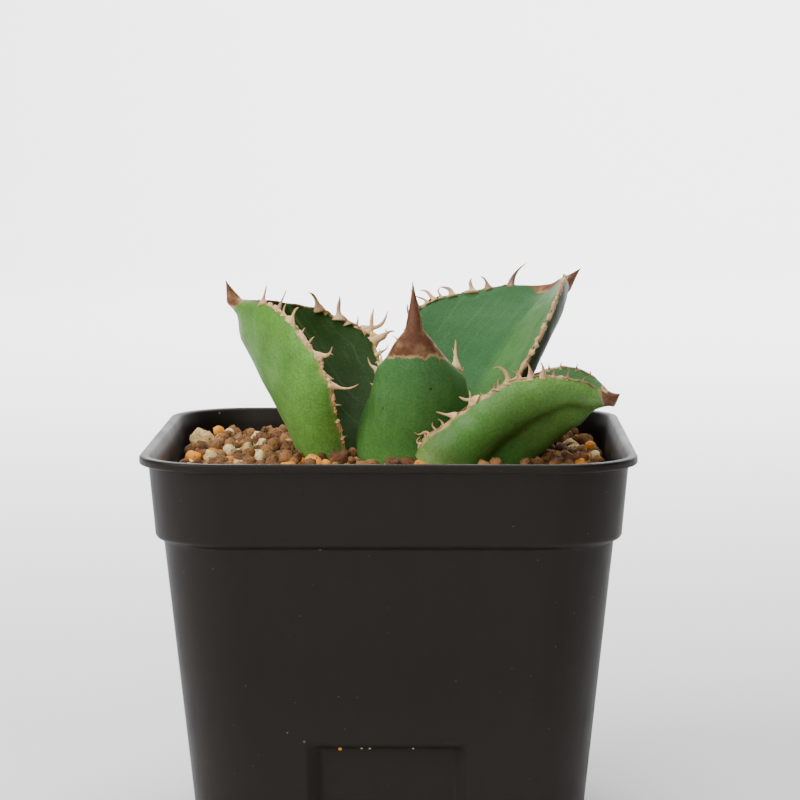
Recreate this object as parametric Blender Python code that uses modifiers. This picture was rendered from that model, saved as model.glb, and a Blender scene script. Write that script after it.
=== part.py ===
"""Potted agave: a young toothed agave in a square nursery pot filled with mineral grit.

Units are metres, +Z up. The origin is the centre of the pot's underside, which stands on Z = 0.
-Y is the front. The rosette is a short stem, a closed bud and five leaves; each leaf is one solid
with its teeth and its terminal spine. Angles are in degrees; azimuths turn anticlockwise from +X.
"""
import math
import random
from dataclasses import dataclass

import bmesh
import bpy
import numpy as np
from mathutils import Matrix, Vector
from mathutils.bvhtree import BVHTree

MM = 0.001

# --- Driving dimensions -----------------------------------------------------------------------
GAP = 0.3 * MM                  # clearance kept between pieces that touch

POT_WIDTH = 90.0 * MM           # across the lip
POT_HEIGHT = 75.0 * MM
POT_CORNER_RADIUS = 15.0 * MM   # at the lip
CORNER_TIGHTEN = 0.35           # corner radius lost for each unit that the wall comes in
POT_WALL = 1.4 * MM
POT_FLOOR = 1.8 * MM
LIP_OVERHANG = 1.4 * MM
LIP_THICKNESS = 1.6 * MM
LIP_ROUND = 0.4 * MM
COLLAR_HEIGHT = 15.0 * MM       # from the rim down to the step
COLLAR_DRAFT = 1.3 * MM         # how far the collar comes in from top to bottom
COLLAR_STEP = 1.3 * MM          # how far the wall steps in below the collar
WALL_DRAFT = 5.7                # degrees
NOTCH_HALF_WIDTH = 13.8 * MM    # pressed-in arch at the foot of each wall
NOTCH_HEIGHT = 22.0 * MM
NOTCH_DEPTH = 2.4 * MM
NOTCH_SIDE = 2.6 * MM           # width of the arch's sloping sides
DRAIN_RADIUS = 4.0 * MM
DRAIN_SPACING = 38.0 * MM       # between neighbouring drain holes, on a square
CORNER_SEGMENTS = 5

SOIL_BELOW_RIM = 7.0 * MM       # at the wall
SOIL_MOUND = 1.6 * MM           # how much higher the soil is in the middle
GRAIN_SIZE = 4.2 * MM           # a middling grain
GRAIN_FLATNESS = 0.86           # a grain's height against its width
GRAIN_NARROWEST = 0.78          # its least width against its length
GRAIN_ROUGHNESS = 0.16          # how far its skin falls in, against its radius
SETTLE_ROUNDS = 160
SETTLE_STEP = 0.4 * MM          # a grain's move off a leaf in one round
GRAIN_SEED = 11

CROWN_X = 2.0 * MM              # the rosette's axis
CROWN_Y = 0.0 * MM
LEAF_SEAT_DEPTH = 1.0 * MM      # leaf bases sit this far under the soil's level at the wall
STEM_RADIUS = 15.0 * MM
STEM_DEPTH = 13.0 * MM          # below the leaf seats
STEM_HEIGHT = 2.5 * MM          # above the leaf seats
CROWN_WELL_RADIUS = 14.5 * MM   # the soil stays out of the crown, between the leaf bases
BUD_RADIUS = 6.2 * MM
BUD_LENGTH = 23.0 * MM
BUD_LEAN = 8.0                  # degrees, towards the back

MARGIN_THICKNESS = 0.9 * MM
SPINE_RADIUS = 0.9 * MM
TOOTH_RADIUS = 0.75 * MM
TOOTH_SINK = 1.7 * MM
TOOTH_POINT = 0.08 * MM         # radius at a tooth's end
TOOTH_LEAN = 0.35               # share of the blade's direction in a tooth's direction
FIRST_TOOTH = 0.34              # shares of the blade's length
LAST_TOOTH = 0.88
TIP_WIDTH = 0.12                # share of the widest width that is left at the blade's end
SHARP_ANGLE = 40.0              # degrees; faces that meet at more are shaded apart
LEAF_SEGMENTS = 12              # round the blade's section
SPINE_RINGS = 2
BLADE_STATIONS = (0.0, 0.05, 0.19, 0.36, 0.54, 0.71, 0.87, 1.0)


@dataclass(frozen=True)
class Leaf:
    """One leaf: a channelled blade along a curved midline, with a spine at its end."""
    name: str
    seat_radius: float          # from the rosette's axis to the middle of the leaf's base
    seat_azimuth: float
    azimuth: float              # the way the midline runs, seen from above
    sweep: float                # how far that azimuth turns by the tip
    rise_start: float           # the midline's slope above level, at the base and at the tip
    rise_end: float
    length: float
    base_half_width: float
    half_width: float
    widest_at: float            # share of the length
    tip_power: float            # outline beyond the widest place: (1 - x^power)^blunt
    tip_blunt: float
    curl_start: float           # how far each margin turns up from the blade's middle
    curl_end: float
    fold: float                 # 1 curls evenly, less gathers the curl at the middle as a fold
    base_thickness: float
    tip_thickness: float
    roll_start: float           # turn of the blade about its own midline
    roll_end: float
    spine_length: float
    spine_lift: float           # the spine's slope above the blade's end
    teeth: int                  # on each margin
    tooth_height: float


# From the oldest leaf to the youngest.
LEAVES = (
    Leaf("leaf_back", 10.5 * MM, 106.0, 106.0, 4.0, 40.0, 18.0, 26.0 * MM, 8.0 * MM, 10.0 * MM,
         0.50, 2.4, 0.72, 55.0, 50.0, 0.9, 5.5 * MM, 1.8 * MM, 0.0, 0.0, 4.5 * MM, 16.0, 4, 2.4 * MM),
    Leaf("leaf_low_right", 14.0 * MM, -29.6, -13.5, 5.0, 52.5, 12.5, 32.5 * MM, 14.0 * MM, 15.0 * MM,
         0.54, 2.3, 0.82, 72.0, 72.0, 1.0, 7.6 * MM, 1.6 * MM, 9.0, -3.5, 4.6 * MM, 18.0, 5, 2.4 * MM),
    Leaf("leaf_left", 10.7 * MM, 174.0, 165.5, 3.0, 56.5, 57.5, 39.7 * MM, 8.4 * MM, 23.0 * MM,
         0.44, 2.8, 0.71, 78.5, 51.5, 0.8, 5.1 * MM, 1.3 * MM, 10.5, -8.5, 6.0 * MM, 0.0, 5, 3.6 * MM),
    Leaf("leaf_right", 11.0 * MM, 47.4, 50.0, -1.0, 59.0, 18.5, 53.5 * MM, 9.0 * MM, 19.3 * MM,
         0.58, 2.2, 0.61, 47.0, 41.0, 0.6, 6.5 * MM, 2.2 * MM, -12.5, 17.5, 8.0 * MM, 30.0, 6, 3.2 * MM),
    Leaf("leaf_front", 6.5 * MM, -66.0, -79.0, 0.0, 64.0, 84.0, 29.5 * MM, 10.5 * MM, 13.0 * MM,
         0.22, 1.45, 0.80, 55.0, 60.0, 0.9, 5.0 * MM, 3.0 * MM, 0.0, 6.0, 8.4 * MM, 2.0, 3, 3.2 * MM),
)

# Grains that show: kind, place as a share of the pot's inner half width, size against GRAIN_SIZE.
SHOWN_GRAINS = (
    ("pumice", -0.90, 0.42, 1.50), ("pumice", -0.84, 0.68, 0.72), ("pumice", -0.66, 0.66, 0.84),
    ("kanuma", -0.50, 0.88, 0.84), ("akadama", -0.70, 0.90, 0.78), ("akadama", -0.62, 0.36, 1.16),
    ("akadama", -0.48, 0.14, 0.98), ("kanuma", -0.70, 0.02, 0.90), ("kanuma", -0.58, -0.14, 0.66),
    ("akadama", -0.86, 0.08, 0.84), ("akadama", -0.93, -0.20, 0.76), ("akadama", 0.60, -0.18, 1.14),
    ("akadama", 0.78, -0.26, 0.80), ("kanuma", 0.88, 0.70, 0.72), ("akadama", 0.80, 0.44, 1.16),
    ("kanuma", 0.90, 0.06, 0.66), ("akadama", -0.16, -0.30, 0.72), ("akadama", 0.02, -0.50, 1.05),
    ("akadama", 0.36, -0.52, 0.80),
)
# Grains that fill the rest of the surface, on two rings of equal steps.
FILL_RINGS = ((0.88, 9, 0.15), (0.62, 6, 0.55))   # share of the inner half width, count, first step
FILL_KINDS = ("akadama", "akadama", "pumice", "akadama", "kanuma")

MATERIALS = {                   # base colour, roughness
    "pot_plastic": ((0.016, 0.015, 0.015), 0.42),
    "soil": ((0.060, 0.032, 0.018), 0.95),
    "akadama": ((0.140, 0.056, 0.026), 0.95),
    "pumice": ((0.560, 0.450, 0.280), 0.95),
    "kanuma": ((0.600, 0.260, 0.040), 0.90),
    "leaf_skin": ((0.085, 0.200, 0.045), 0.45),
    "stem_flesh": ((0.330, 0.380, 0.180), 0.60),
}


# --- Scene helpers ----------------------------------------------------------------------------
def new_collection(name):
    """A collection linked to the scene."""
    collection = bpy.data.collections.new(name)
    bpy.context.scene.collection.children.link(collection)
    return collection


def material(name):
    """The named material, made at its first use."""
    found = bpy.data.materials.get(name)
    if found:
        return found
    colour, roughness = MATERIALS[name]
    made = bpy.data.materials.new(name)
    made.use_nodes = True
    shader = made.node_tree.nodes["Principled BSDF"]
    shader.inputs["Base Color"].default_value = (*colour, 1.0)
    shader.inputs["Roughness"].default_value = roughness
    return made


def add_object(name, bm, finish=None):
    """Put a bmesh into a named object; with a finish it is a piece, without one it is a cutter."""
    mesh = bpy.data.meshes.new(name)
    bm.normal_update()
    bmesh.ops.recalc_face_normals(bm, faces=bm.faces)
    bm.to_mesh(mesh)
    bm.free()
    piece = bpy.data.objects.new(name, mesh)
    if finish is None:
        CUTTERS.objects.link(piece)
        piece.hide_render = True
        piece.display_type = "WIRE"
    else:
        PARTS.objects.link(piece)
        mesh.materials.append(material(finish))
        mesh.shade_smooth()
        mesh.set_sharp_from_angle(angle=math.radians(SHARP_ANGLE))
    return piece


def add_boolean(piece, cutter, operation, solver="EXACT"):
    """A live Boolean on a piece."""
    modifier = piece.modifiers.new(f"{operation.lower()}_{cutter.name}", "BOOLEAN")
    modifier.object = cutter
    modifier.operation = operation
    modifier.solver = solver


def grown_copy(piece, distance):
    """A cutter: the piece as evaluated, moved out along its normals by a distance."""
    bpy.context.view_layer.update()
    depsgraph = bpy.context.evaluated_depsgraph_get()
    bm = bmesh.new()
    bm.from_object(piece, depsgraph)
    bm.normal_update()
    moved = [(vert, vert.co + vert.normal * distance) for vert in bm.verts]
    for vert, place in moved:
        vert.co = place
    return add_object(f"{piece.name}_clearance", bm)


# --- Pot --------------------------------------------------------------------------------------
def corner_radius(half):
    """Corner radius of the pot's outer skin where its half width is half."""
    return POT_CORNER_RADIUS - CORNER_TIGHTEN * (POT_WIDTH / 2 - half)


def outer_half(z):
    """Half width of the outer skin below the lip, at a height."""
    collar_top = POT_WIDTH / 2 - LIP_OVERHANG
    step = POT_HEIGHT - COLLAR_HEIGHT
    if z >= step:
        return collar_top - COLLAR_DRAFT * (POT_HEIGHT - z) / COLLAR_HEIGHT
    body_top = collar_top - COLLAR_DRAFT - COLLAR_STEP
    return body_top - math.tan(math.radians(WALL_DRAFT)) * (step - z)


def rounded_square(half, radius, z):
    """Points round a square with round corners, anticlockwise from the +X side."""
    points = []
    for quarter in range(4):
        turn = quarter * math.pi / 2
        for k in range(CORNER_SEGMENTS + 1):
            angle = math.pi / 2 * k / CORNER_SEGMENTS
            x = half - radius + radius * math.cos(angle)
            y = half - radius + radius * math.sin(angle)
            points.append(Vector((x * math.cos(turn) - y * math.sin(turn),
                                  x * math.sin(turn) + y * math.cos(turn), z)))
    return points


def loft_square(rings):
    """A closed bmesh through (half, radius, z) rings: a face, extruded ring by ring, and a lid."""
    bm = bmesh.new()
    loop = [bm.verts.new(point) for point in rounded_square(*rings[0])]
    bm.faces.new(reversed(loop))
    edges = [bm.edges.get((a, b)) for a, b in zip(loop, loop[1:] + loop[:1])]
    for ring in rings[1:]:
        made = bmesh.ops.extrude_edge_only(bm, edges=edges)["geom"]
        verts = [item for item in made if isinstance(item, bmesh.types.BMVert)]
        edges = [item for item in made if isinstance(item, bmesh.types.BMEdge)]
        for vert, point in zip(verts, rounded_square(*ring)):
            vert.co = point
    bmesh.ops.holes_fill(bm, edges=edges, sides=0)
    return bm


def inner_rings(inset, top):
    """Rings of the pot's inside, set in from the wall by inset, from the floor to a height."""
    step = POT_HEIGHT - COLLAR_HEIGHT
    heights = [POT_FLOOR + inset, step - COLLAR_STEP, step, top]
    rings = []
    for z in heights:
        outside = outer_half(min(z, step - 1e-6) if z <= step - COLLAR_STEP / 2 else z)
        rings.append((outside - POT_WALL - inset, corner_radius(outside) - POT_WALL - inset, z))
    return rings


def notch_block(name, grow):
    """A block that presses the arch into the front wall's foot; grow is added on every side."""
    bm = bmesh.new()
    bmesh.ops.create_cube(bm, size=2.0)
    beyond = 3.0 * MM
    slope = NOTCH_SIDE / NOTCH_DEPTH
    for vert in bm.verts:
        across, depth, up = (1 if value > 0 else -1 for value in vert.co)
        inside = depth > 0
        reach = 0.0 if inside else NOTCH_DEPTH + beyond
        height = NOTCH_HEIGHT + grow - NOTCH_SIDE + slope * reach if up > 0 else -grow - beyond
        skin = outer_half(min(NOTCH_HEIGHT, max(height, 0.0)))
        out = skin - NOTCH_DEPTH - grow if inside else skin + beyond
        wide = NOTCH_HALF_WIDTH - NOTCH_SIDE + grow + slope * reach
        vert.co = (across * wide, -out, height)
    return add_object(name, bm)


def cut_notches(piece, name, grow):
    """Cut the arch out of all four walls of a piece."""
    for quarter in range(4):
        block = notch_block(f"{name}_{quarter}", grow)
        block.data.transform(Matrix.Rotation(quarter * math.pi / 2, 4, "Z"))
        add_boolean(piece, block, "DIFFERENCE")


def build_pot():
    """The pot: a tapered square shell with a lip, a collar, foot arches and drain holes."""
    lip = POT_WIDTH / 2
    step = POT_HEIGHT - COLLAR_HEIGHT
    under_lip = POT_HEIGHT - LIP_THICKNESS
    profile = [(outer_half(0.0), 0.0), (outer_half(step - COLLAR_STEP), step - COLLAR_STEP),
               (outer_half(step), step), (outer_half(under_lip), under_lip),
               (lip - LIP_ROUND, under_lip), (lip, under_lip + LIP_ROUND),
               (lip, POT_HEIGHT - LIP_ROUND), (lip - LIP_ROUND, POT_HEIGHT)]
    pot = add_object("pot", loft_square([(half, corner_radius(half), z) for half, z in profile]),
                     "pot_plastic")
    cut_notches(pot, "notch", 0.0)
    cavity = add_object("cavity", loft_square(inner_rings(0.0, POT_HEIGHT + 1.0 * MM)))
    cut_notches(cavity, "cavity_notch", POT_WALL)
    add_boolean(pot, cavity, "DIFFERENCE")
    drains = bmesh.new()
    for sx in (-1, 1):
        for sy in (-1, 1):
            place = Matrix.Translation((sx * DRAIN_SPACING / 2, sy * DRAIN_SPACING / 2, 0.0))
            bmesh.ops.create_cone(drains, cap_ends=True, segments=16, radius1=DRAIN_RADIUS,
                                  radius2=DRAIN_RADIUS, depth=4 * POT_FLOOR, matrix=place)
    add_boolean(pot, add_object("drains", drains), "DIFFERENCE")
    return pot


# --- Soil -------------------------------------------------------------------------------------
SOIL_LEVEL = POT_HEIGHT - SOIL_BELOW_RIM


def soil_height(x, y):
    """Height of the soil bed's surface: a low mound that falls to the wall."""
    across = max(abs(x), abs(y)) / (outer_half(SOIL_LEVEL) - POT_WALL)
    return SOIL_LEVEL + SOIL_MOUND * (1.0 - min(across, 1.0) ** 2)


def build_soil():
    """The bed of grit under the loose top grains, filling the pot with a gap all round."""
    rings = inner_rings(GAP, SOIL_LEVEL)
    half, radius, _ = rings[-1]
    for share in (0.8, 0.55, 0.25):
        rings.append((half * share, radius * share, soil_height(half * share, 0.0)))
    bed = add_object("soil_bed", loft_square(rings), "soil")
    cut_notches(bed, "soil_notch", POT_WALL + GAP)
    well = bmesh.new()
    depth = SOIL_BELOW_RIM + LEAF_SEAT_DEPTH
    place = Matrix.Translation((CROWN_X, CROWN_Y, SOIL_LEVEL - LEAF_SEAT_DEPTH + depth / 2))
    bmesh.ops.create_cone(well, cap_ends=True, segments=20, radius1=CROWN_WELL_RADIUS,
                          radius2=CROWN_WELL_RADIUS, depth=depth, matrix=place)
    add_boolean(bed, add_object("crown_well", well), "DIFFERENCE")
    return bed


# --- Leaves -----------------------------------------------------------------------------------
CROWN = np.array((CROWN_X, CROWN_Y, SOIL_LEVEL - LEAF_SEAT_DEPTH))


def direction(azimuth, rise):
    """Unit vector for an azimuth and a slope above level, in degrees."""
    turn, up = math.radians(azimuth), math.radians(rise)
    return np.array((math.cos(up) * math.cos(turn), math.cos(up) * math.sin(turn), math.sin(up)))


def midline(leaf, s, steps=60):
    """Point on the midline at share s of the length: the sum of short steps along its direction."""
    seat = CROWN + leaf.seat_radius * direction(leaf.seat_azimuth, 0.0)
    middles = (np.arange(steps) + 0.5) / steps * s
    for share in middles:
        seat = seat + heading(leaf, share) * leaf.length * s / steps
    return seat


def heading(leaf, s):
    """Direction of the midline at share s of the length."""
    rise = leaf.rise_start + (leaf.rise_end - leaf.rise_start) * s
    return direction(leaf.azimuth + leaf.sweep * s, rise)


def frame_at(leaf, s):
    """Sideways and upward unit vectors of the blade at share s, turned by the blade's roll."""
    azimuth = math.radians(leaf.azimuth + leaf.sweep * s)
    side = np.array((math.sin(azimuth), -math.cos(azimuth), 0.0))
    up = np.cross(side, heading(leaf, s))
    roll = math.radians(leaf.roll_start + (leaf.roll_end - leaf.roll_start) * s)
    return (side * math.cos(roll) + up * math.sin(roll),
            up * math.cos(roll) - side * math.sin(roll))


def half_width(leaf, s):
    """Outline of the blade: a smooth swell to the widest place, then a pointed or blunt end."""
    if s < leaf.widest_at:
        x = s / leaf.widest_at
        return (leaf.base_half_width
                + (leaf.half_width - leaf.base_half_width) * x * x * (3.0 - 2.0 * x))
    x = (s - leaf.widest_at) / (1.0 - leaf.widest_at)
    narrow = (1.0 - x ** leaf.tip_power) ** leaf.tip_blunt
    return leaf.half_width * (TIP_WIDTH + (1.0 - TIP_WIDTH) * narrow)


def section(leaf, s, u, steps=12):
    """Sideways place, height and slope of the upper face at u, from -1 to 1 across the blade."""
    curl = math.radians(leaf.curl_start + (leaf.curl_end - leaf.curl_start) * s)
    middles = (np.arange(steps) + 0.5) / steps * abs(u)
    slopes = curl * middles ** leaf.fold
    reach = half_width(leaf, s) * abs(u) / steps
    sign = 1.0 if u >= 0 else -1.0
    return (sign * reach * np.cos(slopes).sum(), reach * np.sin(slopes).sum(),
            sign * curl * abs(u) ** leaf.fold)


def blade_point(leaf, s, u, below):
    """A point of the blade; below is 0 on the upper face, 1 on the lower and 0.5 between."""
    side, up = frame_at(leaf, s)
    across, height, slope = section(leaf, s, u)
    thickness = leaf.base_thickness + (leaf.tip_thickness - leaf.base_thickness) * s
    depth = thickness * math.sqrt(max(0.0, 1.0 - u * u)) + MARGIN_THICKNESS
    normal = up * math.cos(slope) - side * math.sin(slope)
    return midline(leaf, s) + side * across + up * height - normal * depth * below


def spine_point(leaf, t, angle):
    """A point of the spine's skin at share t of its length; it narrows to nothing at its end."""
    rise = leaf.rise_end + leaf.spine_lift * min(1.0, 2.0 * t)
    azimuth = leaf.azimuth + leaf.sweep
    axis = direction(azimuth, rise)
    side, _ = frame_at(leaf, 1.0)
    up = np.cross(side, axis)
    start = blade_point(leaf, 1.0, 0.0, 0.5)
    radius = SPINE_RADIUS * (1.0 - t)
    return (start + axis * leaf.spine_length * t
            + radius * (side * math.cos(angle) + up * math.sin(angle)))


def leaf_mesh(leaf):
    """A ball whose rings of latitude become the blade's sections and the spine's circles."""
    rings = len(BLADE_STATIONS) + SPINE_RINGS
    bm = bmesh.new()
    bmesh.ops.create_uvsphere(bm, u_segments=LEAF_SEGMENTS, v_segments=rings + 1, radius=1.0)
    margin = set()
    for vert in bm.verts:
        level = round((1.0 - math.acos(max(-1.0, min(1.0, vert.co.z))) / math.pi) * (rings + 1))
        angle = math.atan2(vert.co.y, -vert.co.x)
        u = math.cos(angle)
        below = 0.5 if abs(u) > 0.999 else (0.0 if vert.co.y > 0 else 1.0)
        if abs(u) > 0.999 and 0 < level <= len(BLADE_STATIONS):
            margin.add(vert)
        if level == 0:
            place = blade_point(leaf, 0.0, 0.0, 0.5)
        elif level <= len(BLADE_STATIONS):
            place = blade_point(leaf, BLADE_STATIONS[level - 1], u, below)
        else:
            place = spine_point(leaf, (level - len(BLADE_STATIONS)) / (SPINE_RINGS + 1), angle)
        vert.co = place
    crease = bm.edges.layers.float.new("crease_edge")
    for edge in bm.edges:
        if edge.verts[0] in margin and edge.verts[1] in margin:
            edge[crease] = 1.0
    return bm


def teeth_mesh(leaf):
    """Cones along both margins, leaning towards the tip."""
    bm = bmesh.new()
    for margin in (-1.0, 1.0):
        for k in range(leaf.teeth):
            s = FIRST_TOOTH + (LAST_TOOTH - FIRST_TOOTH) * k / max(1, leaf.teeth - 1)
            side, up = frame_at(leaf, s)
            slope = section(leaf, s, margin)[2]
            outward = margin * (side * math.cos(slope) + up * math.sin(slope))
            lean = Vector(outward * (1.0 - TOOTH_LEAN) + heading(leaf, s) * TOOTH_LEAN).normalized()
            root = Vector(blade_point(leaf, s, margin, 0.5)) - lean * TOOTH_SINK
            height = leaf.tooth_height + TOOTH_SINK
            turn = lean.to_track_quat("Z", "Y").to_matrix().to_4x4()
            place = Matrix.Translation(root + lean * height / 2) @ turn
            bmesh.ops.create_cone(bm, cap_ends=True, segments=6, radius1=TOOTH_RADIUS,
                                  radius2=TOOTH_POINT, depth=height, matrix=place)
    return bm


def build_leaf(leaf, younger):
    """One leaf with its teeth, kept clear of the younger pieces that it wraps."""
    blade = add_object(leaf.name, leaf_mesh(leaf), "leaf_skin")
    smooth = blade.modifiers.new("smooth", "SUBSURF")
    smooth.levels = 1
    smooth.render_levels = 1
    add_boolean(blade, add_object(f"{leaf.name}_teeth", teeth_mesh(leaf)), "UNION")
    for piece in younger:
        add_boolean(blade, piece, "DIFFERENCE")
    return blade


def turned_point(profile, segments, place):
    """A closed turned solid: a ball whose rings of latitude take (radius, height) pairs."""
    bm = bmesh.new()
    rings = len(profile) - 2
    bmesh.ops.create_uvsphere(bm, u_segments=segments, v_segments=rings + 1, radius=1.0)
    for vert in bm.verts:
        level = round((1.0 - math.acos(max(-1.0, min(1.0, vert.co.z))) / math.pi) * (rings + 1))
        radius, height = profile[level]
        flat = Vector((vert.co.x, vert.co.y, 0.0))
        flat = flat.normalized() * radius if radius > 0 else Vector((0.0, 0.0, 0.0))
        vert.co = place @ Vector((flat.x, flat.y, height))
    return bm


def build_bud():
    """The closed cone of leaves at the heart of the rosette."""
    levels = 10
    profile = [(0.0, 0.0), (0.9 * BUD_RADIUS, 0.0)]
    for k in range(1, levels):
        t = k / levels
        profile.append((BUD_RADIUS * (1.0 - t) * (1.0 - 0.45 * t * t), BUD_LENGTH * t))
    profile.append((0.0, BUD_LENGTH))
    lean = Matrix.Rotation(math.radians(-BUD_LEAN), 4, "X")
    place = Matrix.Translation((CROWN_X, CROWN_Y, CROWN[2] + STEM_HEIGHT + GAP)) @ lean
    return add_object("bud", turned_point(profile, 12, place), "leaf_skin")


def build_stem():
    """The short stem that carries the leaves, set in the soil."""
    profile = [(0.0, -STEM_DEPTH), (0.40 * STEM_RADIUS, -STEM_DEPTH),
               (0.80 * STEM_RADIUS, -0.75 * STEM_DEPTH), (STEM_RADIUS, -0.45 * STEM_DEPTH),
               (0.90 * STEM_RADIUS, -0.25 * STEM_DEPTH),
               (0.60 * STEM_RADIUS, 0.4 * STEM_HEIGHT), (0.40 * STEM_RADIUS, STEM_HEIGHT),
               (0.0, STEM_HEIGHT)]
    return add_object("stem", turned_point(profile, 16, Matrix.Translation(CROWN)), "stem_flesh")


# --- Loose grains -----------------------------------------------------------------------------
@dataclass
class Grain:
    """A loose grain: its kind, its centre seen from above and its radius."""
    kind: str
    x: float
    y: float
    radius: float


def first_places():
    """The grains before they settle."""
    inner = outer_half(SOIL_LEVEL) - POT_WALL
    grains = [Grain(kind, x * inner, y * inner, size * GRAIN_SIZE / 2)
              for kind, x, y, size in SHOWN_GRAINS]
    for share, count, first in FILL_RINGS:
        for k in range(count):
            angle = 2 * math.pi * (k + first) / count
            square = max(abs(math.cos(angle)), abs(math.sin(angle)))
            reach = share * inner / square * (0.9 if square < 0.8 else 1.0)
            kind = FILL_KINDS[k % len(FILL_KINDS)]
            grains.append(Grain(kind, reach * math.cos(angle), reach * math.sin(angle),
                                GRAIN_SIZE * (0.36 + 0.05 * (k % 4))))
    return grains


def settle(grains, obstacles):
    """Push grains apart, in from the wall and off the leaves until none touches."""
    inner = outer_half(SOIL_LEVEL) - POT_WALL
    corner = corner_radius(outer_half(SOIL_LEVEL)) - POT_WALL
    for _ in range(SETTLE_ROUNDS):
        for a, grain in enumerate(grains):
            for other in grains[:a]:
                dx, dy = grain.x - other.x, grain.y - other.y
                apart = math.hypot(dx, dy)
                push = (grain.radius + other.radius + 2 * GAP - apart) / 2
                if push > 0:
                    dx, dy = (dx / apart, dy / apart) if apart > 1e-9 else (1.0, 0.0)
                    grain.x, grain.y = grain.x + dx * push, grain.y + dy * push
                    other.x, other.y = other.x - dx * push, other.y - dy * push
            place = Vector((grain.x, grain.y, grain_height(grain)))
            for tree in obstacles:
                near, normal, _, distance = tree.find_nearest(place)
                inside = (place - near).dot(normal) < 0
                wanted = grain.radius + 2 * GAP
                if inside or distance < wanted:
                    away = Vector((grain.x - CROWN_X, grain.y - CROWN_Y)).normalized()
                    grain.x += away.x * SETTLE_STEP
                    grain.y += away.y * SETTLE_STEP
            limit = inner - grain.radius - 2 * GAP
            grain.x = max(-limit, min(limit, grain.x))
            grain.y = max(-limit, min(limit, grain.y))
            over_x = abs(grain.x) - (inner - corner)
            over_y = abs(grain.y) - (inner - corner)
            reach = corner - grain.radius - 2 * GAP
            if over_x > 0 and over_y > 0 and math.hypot(over_x, over_y) > reach:
                pull = reach / math.hypot(over_x, over_y)
                grain.x = math.copysign(inner - corner + over_x * pull, grain.x)
                grain.y = math.copysign(inner - corner + over_y * pull, grain.y)


def grain_height(grain):
    """Height of a grain's centre when it rests on the soil bed."""
    top = max(soil_height(grain.x + dx * grain.radius, grain.y + dy * grain.radius)
              for dx in (-0.5, 0.5) for dy in (-0.5, 0.5))
    return top + GAP + GRAIN_FLATNESS * grain.radius


def build_grains(obstacles):
    """Every loose grain as its own rough, flattened ball."""
    grains = first_places()
    settle(grains, obstacles)
    chance = random.Random(GRAIN_SEED)
    for number, grain in enumerate(grains, 1):
        bm = bmesh.new()
        fine = 2 if number <= len(SHOWN_GRAINS) else 1
        bmesh.ops.create_icosphere(bm, subdivisions=fine, radius=1.0)
        turn = Matrix.Rotation(chance.uniform(0.0, 2 * math.pi), 4, "Z")
        flat = Matrix.Diagonal((1.0, chance.uniform(GRAIN_NARROWEST, 0.95), GRAIN_FLATNESS, 1.0))
        for vert in bm.verts:
            vert.co = vert.co * chance.uniform(1.0 - GRAIN_ROUGHNESS, 1.0)
        place = Matrix.Translation((grain.x, grain.y, grain_height(grain)))
        bm.transform(place @ Matrix.Scale(grain.radius, 4) @ turn @ flat)
        add_object(f"{grain.kind}_grain_{number:02d}", bm, grain.kind)


# --- Assembly ---------------------------------------------------------------------------------
def evaluated_tree(piece):
    """A search tree over a piece's evaluated faces."""
    bpy.context.view_layer.update()
    return BVHTree.FromObject(piece, bpy.context.evaluated_depsgraph_get())


def main():
    """Build the pot, the soil, the rosette from its heart outwards, and the loose grains."""
    build_pot()
    bed = build_soil()
    stem = build_stem()
    bud = build_bud()
    stem_clearance = grown_copy(stem, GAP)
    clearances = [grown_copy(bud, GAP)]
    blades = []
    for leaf in reversed(LEAVES):
        blade = build_leaf(leaf, clearances)
        blades.append(blade)
        clearances.append(grown_copy(blade, GAP))
    for clearance in clearances:
        add_boolean(stem, clearance, "DIFFERENCE", "MANIFOLD")
        add_boolean(bed, clearance, "DIFFERENCE", "MANIFOLD")
    add_boolean(bed, stem_clearance, "DIFFERENCE", "MANIFOLD")
    build_grains([evaluated_tree(piece) for piece in blades])


for leftover in list(bpy.data.objects):
    bpy.data.objects.remove(leftover)
PARTS = new_collection("potted_agave")
CUTTERS = new_collection("cutters")
main()
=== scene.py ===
"""Finished looks of the potted agave: leaves, horn, pot, grit and studio, built round the frame.

Lengths are metres, +Z is up and -Y is the front. Angles are degrees, and azimuths turn
anticlockwise from +X. A leaf's skin is a closed surface of two parameters: the share of its
length, and the way round its section. The pot is a surface of the way round it and the way
down its profile. Horn, teeth and spines are round sections carried along paths.
"""
import logging
import math
from dataclasses import dataclass, field
from enum import Enum

import bpy
import numpy as np
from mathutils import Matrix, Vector


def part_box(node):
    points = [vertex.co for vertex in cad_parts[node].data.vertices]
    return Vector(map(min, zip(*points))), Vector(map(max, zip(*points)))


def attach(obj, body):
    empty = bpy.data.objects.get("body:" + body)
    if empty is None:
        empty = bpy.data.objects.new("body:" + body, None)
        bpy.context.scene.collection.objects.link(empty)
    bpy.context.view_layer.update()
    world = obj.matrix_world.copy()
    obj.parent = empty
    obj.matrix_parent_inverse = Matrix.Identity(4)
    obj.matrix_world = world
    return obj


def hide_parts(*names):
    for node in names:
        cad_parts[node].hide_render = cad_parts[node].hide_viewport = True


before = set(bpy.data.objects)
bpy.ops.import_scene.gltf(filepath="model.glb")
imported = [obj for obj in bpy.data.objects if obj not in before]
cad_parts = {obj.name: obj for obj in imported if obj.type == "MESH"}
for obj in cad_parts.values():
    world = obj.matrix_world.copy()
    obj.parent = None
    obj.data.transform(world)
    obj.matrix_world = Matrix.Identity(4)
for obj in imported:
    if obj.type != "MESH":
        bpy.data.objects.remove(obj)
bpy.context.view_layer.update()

LOG = logging.getLogger("potted_agave")
MM = 0.001
BODY = "root"


class Margin(Enum):
    """The two edges of a blade, as the sign of the place across it."""
    FIRST = -1
    SECOND = 1


class GritKind(Enum):
    """What a grain of the potting grit is."""
    AKADAMA = "akadama"
    PUMICE = "pumice"
    KANUMA = "kanuma"


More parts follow.
